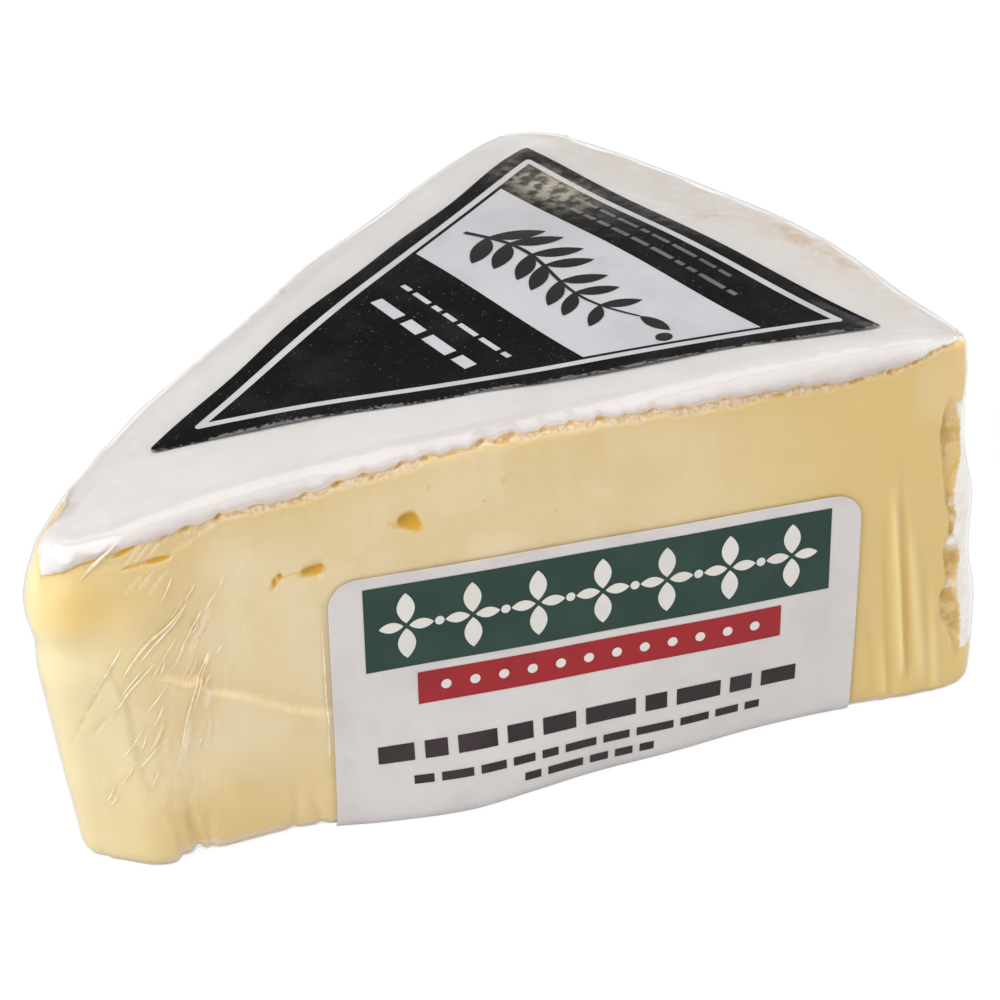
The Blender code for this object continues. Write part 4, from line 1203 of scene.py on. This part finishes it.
crease_points, crease_faces = [], []
for corners, half_width in itertools.chain(CREASES, fine_creases()):
    crease_strip(corners, half_width, crease_points, crease_faces)
crease_mesh = bpy.data.meshes.new("film_creases")
crease_mesh.from_pydata([tuple(point) for point in crease_points], [], crease_faces)
film_creases = bpy.data.objects.new("film_creases", crease_mesh)
bpy.context.scene.collection.objects.link(film_creases)
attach(film_creases, "root")
# painted highlight: the strips are opaque and pale, in place of the glints on the creases
crease_painted_glint = Recipe("creased film")
crease_mesh.materials.append(crease_painted_glint.finish(
    Base_Color=crease_painted_glint.mix(crease_painted_glint.between(crease_painted_glint.noise(1.5 * MM), 0.38, 0.62),
                           seen(236, 216, 174), seen(254, 244, 216)),
    Roughness=0.35))
print("creases:", len(CREASES) + FINE_CREASES)

# %% [markdown]
# ## The top label
#
# A black paper triangle with a white line inside its edge and a white band across
# it. The paper is a thin closed sheet that lies on the rind. The print is laid on
# it as shapes a few hundredths of a millimetre thick in height, because real mesh
# edges stay sharp at any size and need no picture.

# %% A sheet of paper from two grids
def sheet(name, lower, upper):
    """A thin closed sheet between two grids of points."""
    rows, columns = upper.shape[:2]
    points = np.concatenate([upper.reshape(-1, 3), lower.reshape(-1, 3)]) + wheel_middle
    index = np.arange(rows * columns).reshape(rows, columns)
    under = index + rows * columns
    a, b, c, d = index[:-1, :-1], index[:-1, 1:], index[1:, 1:], index[1:, :-1]
    faces = np.stack([a, b, c, d], axis=-1).reshape(-1, 4).tolist()
    faces += (np.stack([d, c, b, a], axis=-1) + rows * columns).reshape(-1, 4).tolist()
    loop = np.concatenate([index[0, :-1], index[:-1, -1], index[-1, :0:-1], index[:0:-1, 0]])
    low = under.ravel()[loop]
    faces += np.column_stack([loop, low, np.roll(low, -1), np.roll(loop, -1)]).tolist()
    mesh = bpy.data.meshes.new(name)
    mesh.from_pydata(points.tolist(), [], faces)
    mesh.shade_smooth()
    mesh.set_sharp_from_angle(angle=math.radians(50))
    thing = bpy.data.objects.new(name, mesh)
    bpy.context.scene.collection.objects.link(thing)
    return thing


# %% The paper triangle
def shoulder_drop(distance, radius, squareness=2.0):
    """How far a rounded edge lies below the flat."""
    inner = np.clip(1 - np.maximum(distance, 0) / radius, 0, 1)
    return radius * (1 - (1 - inner ** squareness) ** (1 / squareness))


def on_top(length, across, lift):
    """A point over the top label's place, lifted off the rind."""
    length, across = np.broadcast_arrays(length, across)
    length = length - across * TOP_LABEL_SKEW * length / TOP_LABEL_LENGTH
    spot = TOP_LABEL_TIP + length[..., None] * LABEL_AXIS + across[..., None] * LABEL_ACROSS
    x, y = spot[..., 0], spot[..., 1]
    to_far = -(spot @ FAR_OUT) + far_offset(np.hypot(x, y), TOP_HEIGHT)
    level = top_height(x, y) - shoulder_drop(to_far, SHOULDER["far"], SQUARENESS)
    return np.stack([x, y, level + lift], axis=-1)


LABEL_TAN = math.tan(TOP_LABEL_HALF_ANGLE)
tip_round_middle = TOP_LABEL_TIP_ROUNDING / math.sin(TOP_LABEL_HALF_ANGLE)
tip_round = tip_round_middle - TOP_LABEL_TIP_ROUNDING * np.cos(np.linspace(0.15, math.pi / 2 - 0.4, 6))
label_length = np.concatenate([tip_round, np.linspace(tip_round_middle, TOP_LABEL_LENGTH, 150)])[:, None]
label_half = np.minimum(label_length, TOP_LABEL_LENGTH - TOP_LABEL_CORNER) * LABEL_TAN
round_half = np.sqrt(TOP_LABEL_TIP_ROUNDING ** 2 - (label_length[:6] - tip_round_middle) ** 2)
label_half[:6] = np.minimum(label_half[:6], round_half)
label_share = np.linspace(-1, 1, 111)[None]
edge_wave = 0.16 * MM * np.sin(label_length / (3.1 * MM)) * np.abs(label_share)
paper_across = label_half * label_share + edge_wave * label_share
paper_lift = LABEL_GAP + 0.03 * MM * np.sin(label_length / (4.2 * MM) + 3 * label_share)
top_paper = sheet("top_label_paper", on_top(label_length, paper_across, paper_lift),
                  on_top(label_length, paper_across, paper_lift + PAPER))
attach(top_paper, "root")
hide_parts("top_label")
near_edge = (1 + label_share) * label_half * math.cos(TOP_LABEL_HALF_ANGLE)
store(top_paper, "near_edge", near_edge / MM)
print("top label", round(float(label_half.max()) * 2 / MM, 1), "mm wide")

# %% [markdown]
# ### Printing with ribbons
#
# Every motif is a ribbon: a line of points with a half-width at each. A bar is a
# ribbon of constant width, a leaf one that swells and narrows, a dot one whose
# width follows a circle. One function lays any ribbon on any surface.

# %% Ribbons
def ribbon(path, half_widths):
    """Left and right edges of a ribbon in flat coordinates."""
    path = np.asarray(path, dtype=float)
    ahead = np.gradient(path, axis=0)
    ahead /= np.linalg.norm(ahead, axis=1, keepdims=True)
    across = np.column_stack([-ahead[:, 1], ahead[:, 0]]) * np.asarray(half_widths)[:, None]
    return path + across, path - across


def bar(start, end, half_width, step=0.7 * MM):
    """A straight bar."""
    start, end = np.array(start), np.array(end)
    count = max(int(np.linalg.norm(end - start) / step) + 1, 2)
    path = start + (end - start) * np.linspace(0, 1, count)[:, None]
    return ribbon(path, np.full(count, half_width))


def leaf(root, direction, length, half_width, bend=0.0):
    """A pointed leaf, which may curve to one side."""
    share = np.linspace(0.001, 0.999, 11)
    ahead = np.array([math.cos(direction), math.sin(direction)])
    side = np.array([-ahead[1], ahead[0]])
    path = np.array(root) + ahead * (share * length)[:, None] + side * (bend * length * share ** 2)[:, None]
    return ribbon(path, half_width * np.sin(np.pi * share) ** 0.8)


def dot(middle, radius):
    """A round dot."""
    share = np.cos(np.linspace(math.pi, 0, 11)) * 0.999
    path = np.array(middle) + np.column_stack([share * radius, np.zeros(11)])
    return ribbon(path, radius * np.sqrt(1 - share ** 2))


def lay(name, ribbons, surface, material):
    """Lay ribbons on a surface as one printed piece."""
    points, faces = [], []
    for left_edge, right_edge in ribbons:
        first = len(points)
        for a, b in zip(left_edge, right_edge):
            points.append(surface(a[0], a[1]) + wheel_middle)
            points.append(surface(b[0], b[1]) + wheel_middle)
        for start in range(first, len(points) - 2, 2):
            faces.append((start, start + 1, start + 3, start + 2))
    mesh = bpy.data.meshes.new(name)
    mesh.from_pydata([tuple(point) for point in points], [], faces)
    mesh.shade_smooth()
    thing = bpy.data.objects.new(name, mesh)
    bpy.context.scene.collection.objects.link(thing)
    mesh.materials.append(material)
    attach(thing, "root")
    return thing


# %% Papers and inks
def paper_material(name, colour, second, roughness, shine=0.4):
    recipe = Recipe(name)
    cloud = recipe.noise(6 * MM, 4)
    fleck = recipe.noise(0.5 * MM, 2)
    mixed = recipe.mix(recipe.between(cloud, 0.4, 0.7), colour, second)
    skin = recipe.bump(cloud, 0.10 * MM, 0.4)
    skin = recipe.bump(fleck, 0.01 * MM, 0.4, skin)
    return recipe.finish(Base_Color=mixed, Roughness=roughness, Specular_IOR_Level=shine, Normal=skin)


def black_paper_material():
    """Black print, cloudy and specked under the film, and worn through to grey along its near edge."""
    recipe = Recipe("black printed paper")
    cloud = recipe.noise(5 * MM, 5)
    black = recipe.mix(recipe.between(cloud, 0.45, 0.75), seen(6, 5, 6), seen(28, 26, 28))
    specks = recipe.between(recipe.noise(0.28 * MM, 1), 0.70, 0.78, 0, 0.6)
    black = recipe.mix(specks, black, seen(150, 148, 148))
    worn_width = recipe.between(recipe.noise(7 * MM, 3), 0.42, 0.62, -0.15, 0.38)
    rag = recipe.between(recipe.noise(0.4 * MM, 2), 0.3, 0.7, -0.3, 0.3)
    past_edge = recipe.work("SUBTRACT", recipe.stored("near_edge"), recipe.work("ADD", worn_width, rag))
    black = recipe.mix(recipe.between(past_edge, -0.25, 0.15, 0.85, 0), black, seen(136, 134, 136))
    skin = recipe.bump(cloud, 0.10 * MM, 0.4)
    return recipe.finish(Base_Color=black, Roughness=0.6, Specular_IOR_Level=0.08, Normal=skin)


white_ink = paper_material("white print", seen(214, 212, 216), seen(205, 203, 207), 0.5)
dark_ink = paper_material("dark print", seen(30, 28, 30), seen(40, 38, 40), 0.5)
grey_ink = paper_material("fine grey print", seen(120, 118, 120), seen(100, 98, 100), 0.5)
top_paper.data.materials.append(black_paper_material())

# %% The white line and the band
INK = 0.045 * MM
LINE_INSET = 2.5 * MM
LINE_HALF_WIDTH = 0.42 * MM
BAND_FROM, BAND_TO = 43.0 * MM, 60.0 * MM
BAND_MARGIN = 0.9 * MM


def top_print(layer):
    """A surface for print on the top label, a number of ink layers up."""
    def surface(length, across):
        ripple = 0.03 * MM * np.sin(length / (4.2 * MM) + 3 * across / (length * LABEL_TAN + MM))
        return on_top(length, across, LABEL_GAP + PAPER + ripple + layer * INK)
    return surface


def line_frame(inset, half_width):
    """A closed triangular line at one distance inside the label's edge."""
    tip = inset / math.sin(TOP_LABEL_HALF_ANGLE)
    base = TOP_LABEL_LENGTH - inset
    half = (base - tip) * LABEL_TAN
    corners = [np.array([tip, 0.0]), np.array([base, half]), np.array([base, -half])]
    ribbons = []
    for start, end in zip(corners, corners[1:] + corners[:1]):
        ribbons.append(bar(start, end, half_width))
    ribbons += [dot(corner, half_width) for corner in corners]
    return ribbons


def band_slices(start, end, margin):
    """A trapezoid across the label as slices, so that it follows the curved top."""
    slices = []
    for low, high in itertools.pairwise(np.linspace(start, end, 17)):
        middle = (low + high) / 2
        tip = (LINE_INSET + margin) / math.sin(TOP_LABEL_HALF_ANGLE)
        low_half, high_half = (low - tip) * LABEL_TAN, (high - tip) * LABEL_TAN
        share = np.linspace(-1, 1, 41)
        slices.append((np.column_stack([np.full(41, high), share * high_half]),
                       np.column_stack([np.full(41, low), share * low_half])))
    return slices


top_line = lay("top_label_line", line_frame(LINE_INSET, LINE_HALF_WIDTH), top_print(1), white_ink)
top_band = lay("top_label_band", band_slices(BAND_FROM, BAND_TO, BAND_MARGIN), top_print(1), white_ink)

# %% A leafy sprig on the band, and rows of dashes
def sprig(start, end, pairs, leaf_length, leaf_width):
    """A stem with leaves in pairs, and a bud at its end."""
    start, end = np.array(start), np.array(end)
    share = np.linspace(0, 1, 30)
    ahead = end - start
    side = np.array([-ahead[1], ahead[0]])
    stem = start + ahead * share[:, None] + side * (0.05 * np.sin(np.pi * 2 * share))[:, None]
    ribbons = [ribbon(stem, np.linspace(0.32, 0.14, 30) * MM)]
    heading = math.atan2(ahead[1], ahead[0])
    for number in range(pairs):
        root = stem[int(3 + number * 25 / pairs)]
        size = 1 - 0.35 * number / pairs
        for turn in (0.85, -0.85):
            ribbons.append(leaf(root, heading + turn, leaf_length * size, leaf_width * size, 0.16 * turn))
    ribbons.append(leaf(stem[-1], heading, leaf_length * 0.7, leaf_width * 0.7))
    return ribbons


def dashes(start, end, half_width, gap, low, high):
    """An uneven row of dashes, like small print seen from afar."""
    start, end = np.array(start), np.array(end)
    whole = np.linalg.norm(end - start)
    ahead = (end - start) / whole
    ribbons, at = [], 0.0
    while at < whole - low:
        length = min(rng.uniform(low, high), whole - at)
        ribbons.append(bar(start + ahead * at, start + ahead * (at + length), half_width))
        at += length + gap
    return ribbons


band_middle = (BAND_FROM + BAND_TO) / 2
motif = sprig((band_middle - 1.5 * MM, 15.5 * MM), (band_middle + 1.0 * MM, -12 * MM), 7, 6.4 * MM, 1.15 * MM)
motif.append(dot((band_middle, -17.2 * MM), 0.9 * MM))
lay("top_label_sprig", motif, top_print(2), dark_ink)

tip_rows = dashes((33.5 * MM, 8.6 * MM), (33.5 * MM, -8.6 * MM), 0.75 * MM, 1.1 * MM, 2.0 * MM, 4.5 * MM)
tip_rows += dashes((37.6 * MM, 9.6 * MM), (37.6 * MM, -9.6 * MM), 0.32 * MM, 0.7 * MM, 1.2 * MM, 3.6 * MM)
lay("top_label_tip_rows", tip_rows, top_print(1), white_ink)
rim_rows = dashes((62.8 * MM, 13 * MM), (62.8 * MM, -15 * MM), 0.3 * MM, 0.6 * MM, 1.2 * MM, 4.2 * MM)
rim_rows += dashes((65.0 * MM, 15 * MM), (65.0 * MM, -13 * MM), 0.26 * MM, 0.6 * MM, 1.2 * MM, 4.2 * MM)
lay("top_label_rim_rows", rim_rows, top_print(1), grey_ink)

# %% [markdown]
# ## The weighing label
#
# A white paper label with rounded corners, stuck over the film. Its lower edge
# turns under the wedge. It is a sheet like the other, laid on the near face, with a
# green field, a red bar and rows of dark dashes as print.

# %% The weighing label's paper
SIDE_WIDTH = 57.8 * MM
SIDE_LEFT = 36.3 * MM
SIDE_TOP = 30.0 * MM
SIDE_TURN = math.radians(-2.1)
SIDE_CORNER = 3.0 * MM
SIDE_CURL = math.radians(43)
SIDE_GAP = 0.26 * MM


def on_near_face(along, height, lift):
    """A point over the near cut face; below the foot's height it turns under."""
    along, height, lift = np.broadcast_arrays(along, height, lift)
    foot = FOOT["near"]
    angle = np.arcsin(np.clip((foot - height) / foot, 0, 1))
    inset_now = (foot + lift) * (1 - np.cos(angle))
    rise = -lift * np.sin(angle)
    stand = near_offset(along, height) + lift - inset_now
    spot = along[..., None] * NEAR_ALONG + stand[..., None] * NEAR_OUT
    return np.stack([spot[..., 0], spot[..., 1], height + rise], axis=-1)


def on_side_label(across, down, lift):
    """A point on the weighing label: across from its left edge and down from its top."""
    foot = FOOT["near"]
    top = SIDE_TOP + across * math.sin(SIDE_TURN)
    flat = top - foot
    curled = np.clip((down - flat) / foot, 0, SIDE_CURL)
    height = top - np.minimum(down, flat) - foot * np.sin(curled)
    along = SIDE_LEFT + across + (height - top) * math.sin(-SIDE_TURN)
    wave = 0.05 * MM * np.sin(across / (3.4 * MM) + height / (9 * MM)) * ease(height, 2 * MM, 8 * MM)
    return on_near_face(along, height, lift + wave + 0.05 * MM)


edge_steps = SIDE_CORNER * (1 - np.cos(np.linspace(0, math.pi / 2, 12)))
side_across = np.concatenate([edge_steps[:-1], np.linspace(SIDE_CORNER, SIDE_WIDTH - SIDE_CORNER, 130),
                              SIDE_WIDTH - edge_steps[-2::-1]])
side_from_edge = np.minimum(side_across, SIDE_WIDTH - side_across)
side_start = shoulder_drop(side_from_edge, SIDE_CORNER)
side_flat = SIDE_TOP + side_across * math.sin(SIDE_TURN) - FOOT["near"]
side_end = side_flat + FOOT["near"] * SIDE_CURL
side_down = side_start + (side_end - side_start) * np.linspace(0, 1, 74)[:, None]
side_grid = np.broadcast_to(side_across, side_down.shape)
side_paper = sheet("side_label_paper", on_side_label(side_grid, side_down, SIDE_GAP),
                   on_side_label(side_grid, side_down, SIDE_GAP + PAPER))
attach(side_paper, "root")
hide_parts("side_label")
white_paper = paper_material("white label paper", seen(217, 212, 210), seen(209, 204, 203), 0.35)
side_paper.data.materials.append(white_paper)

# %% Print on the weighing label
def side_print(layer):
    """A surface for print on the weighing label, a number of ink layers up."""
    def surface(across, down):
        return on_side_label(np.asarray(across), np.asarray(down), SIDE_GAP + PAPER + layer * INK)
    return surface


def field(left, right, top, bottom, rows, columns):
    """A rectangle as slices, so that it follows the face."""
    slices = []
    steps = np.linspace(left, right, columns)
    for low, high in itertools.pairwise(np.linspace(top, bottom, rows)):
        slices.append((np.column_stack([steps, np.full(columns, low)]),
                       np.column_stack([steps, np.full(columns, high)])))
    return slices


green_ink = paper_material("green print", seen(32, 60, 52), seen(38, 66, 58), 0.4)
red_ink = paper_material("red print", seen(160, 28, 36), seen(150, 26, 34), 0.4)
cream_ink = paper_material("cream print", seen(226, 222, 216), seen(220, 216, 210), 0.4)
bold_ink = paper_material("thermal print", seen(42, 32, 34), seen(56, 44, 46), 0.5)

FIELD = (3.6 * MM, 54.4 * MM, 1.2 * MM, 10.95 * MM)
lay("side_label_green", field(*FIELD, 14, 70), side_print(1), green_ink)
RED = (9 * MM, 49 * MM, 11.9 * MM, 15.7 * MM)
lay("side_label_red", field(*RED, 6, 56), side_print(1), red_ink)

# %% Motifs on the fields
field_middle = (FIELD[2] + FIELD[3]) / 2
motifs = []
for number, at in enumerate(np.linspace(8 * MM, 50 * MM, 7)):
    motifs += [leaf((at, field_middle + 0.3 * MM * turn), math.pi / 2 * turn, 3.5 * MM, 0.95 * MM)
               for turn in (1, -1)]
    motifs += [leaf((at + 0.3 * MM * turn, field_middle), math.pi / 2 - math.pi / 2 * turn, 2.6 * MM, 0.6 * MM)
               for turn in (1, -1)]
    if number < 6:
        motifs.append(dot((at + 3.5 * MM, field_middle), 0.5 * MM))
lay("side_label_motifs", motifs, side_print(2), cream_ink)
red_middle = (RED[2] + RED[3]) / 2
beads = [dot((at, red_middle), 0.55 * MM) for at in np.linspace(12 * MM, 46 * MM, 12)]
lay("side_label_beads", beads, side_print(2), cream_ink)

text_rows = dashes((4.4 * MM, 20.9 * MM), (54.0 * MM, 20.9 * MM), 1.0 * MM, 1.1 * MM, 2.2 * MM, 6.5 * MM)
text_rows += dashes((8.0 * MM, 24.2 * MM), (48.5 * MM, 24.2 * MM), 0.5 * MM, 0.8 * MM, 1.4 * MM, 4.6 * MM)
text_rows += dashes((20.0 * MM, 26.4 * MM), (35.5 * MM, 26.4 * MM), 0.5 * MM, 0.8 * MM, 1.4 * MM, 4.2 * MM)
lay("side_label_rows", text_rows, side_print(1), bold_ink)

# %% [markdown]
# ## Floor and light
#
# A white table and soft boxes, as a product photographer would use. The table
# glows faintly, like a light table, which keeps it white in the picture and lifts
# the shadows under the wedge. The sky is bright only near the horizon: the film
# mirrors what is above the table, and a bright sky would turn the black label grey.

# %% Floor
FLOOR_RADIUS = 3.0
floor_mesh = bpy.data.meshes.new("floor")
ring = [(FLOOR_RADIUS * math.cos(a), FLOOR_RADIUS * math.sin(a), -0.02 * MM)
        for a in np.linspace(0, 2 * math.pi, 64, endpoint=False)]
floor_mesh.from_pydata(ring, [], [list(range(64))])
floor = bpy.data.objects.new("floor", floor_mesh)
bpy.context.scene.collection.objects.link(floor)
table = Recipe("white table")
to_camera = table.nodes.new("ShaderNodeLightPath").outputs["Is Camera Ray"]
glow = table.work("ADD", table.work("MULTIPLY", to_camera, 0.9), 0.03)
floor_mesh.materials.append(table.finish(Base_Color=table.mix(to_camera, seen(204, 204, 204), seen(80, 80, 80)),
                                         Roughness=0.8, Emission_Color=(1, 1, 1, 1), Emission_Strength=glow))

# %% Soft boxes
def softbox(name, azimuth, elevation, distance, size, power):
    """A square lamp that faces the middle of the wedge."""
    turn, rise = math.radians(azimuth), math.radians(elevation)
    away = Vector((math.sin(turn) * math.cos(rise), -math.cos(turn) * math.cos(rise), math.sin(rise)))
    lamp = bpy.data.objects.new(name, bpy.data.lights.new(name, "AREA"))
    bpy.context.scene.collection.objects.link(lamp)
    lamp.location = Vector((0, 0, 20 * MM)) + away * distance
    lamp.rotation_mode = "QUATERNION"
    lamp.rotation_quaternion = away.to_track_quat("Z", "Y")
    lamp.data.size = size
    lamp.data.energy = power


softbox("key", -76, 40, 0.9, 0.6, 4.6)
softbox("fill", 12, 38, 0.9, 0.6, 1.4)
softbox("overhead", 0, 86, 0.9, 0.7, 2.8)
softbox("left_edge", -128, 16, 0.9, 0.5, 2.4)
softbox("right_edge", 70, 22, 0.9, 0.5, 3.4)

# %% Sky
world = bpy.data.worlds.new("studio")
bpy.context.scene.world = world
world.use_nodes = True
sky_nodes, sky_links = world.node_tree.nodes, world.node_tree.links
direction = sky_nodes.new("ShaderNodeTexCoord")
split_up = sky_nodes.new("ShaderNodeSeparateXYZ")
fade = sky_nodes.new("ShaderNodeMapRange")
sky_links.new(direction.outputs["Generated"], split_up.inputs["Vector"])
sky_links.new(split_up.outputs["Z"], fade.inputs["Value"])
for name, number in (("From Min", 0.14), ("From Max", 0.36), ("To Min", 1.0), ("To Max", 0.10)):
    fade.inputs[name].default_value = number
sky_links.new(fade.outputs["Result"], sky_nodes["Background"].inputs["Strength"])
sky_nodes["Background"].inputs["Color"].default_value = (1, 1, 1, 1)
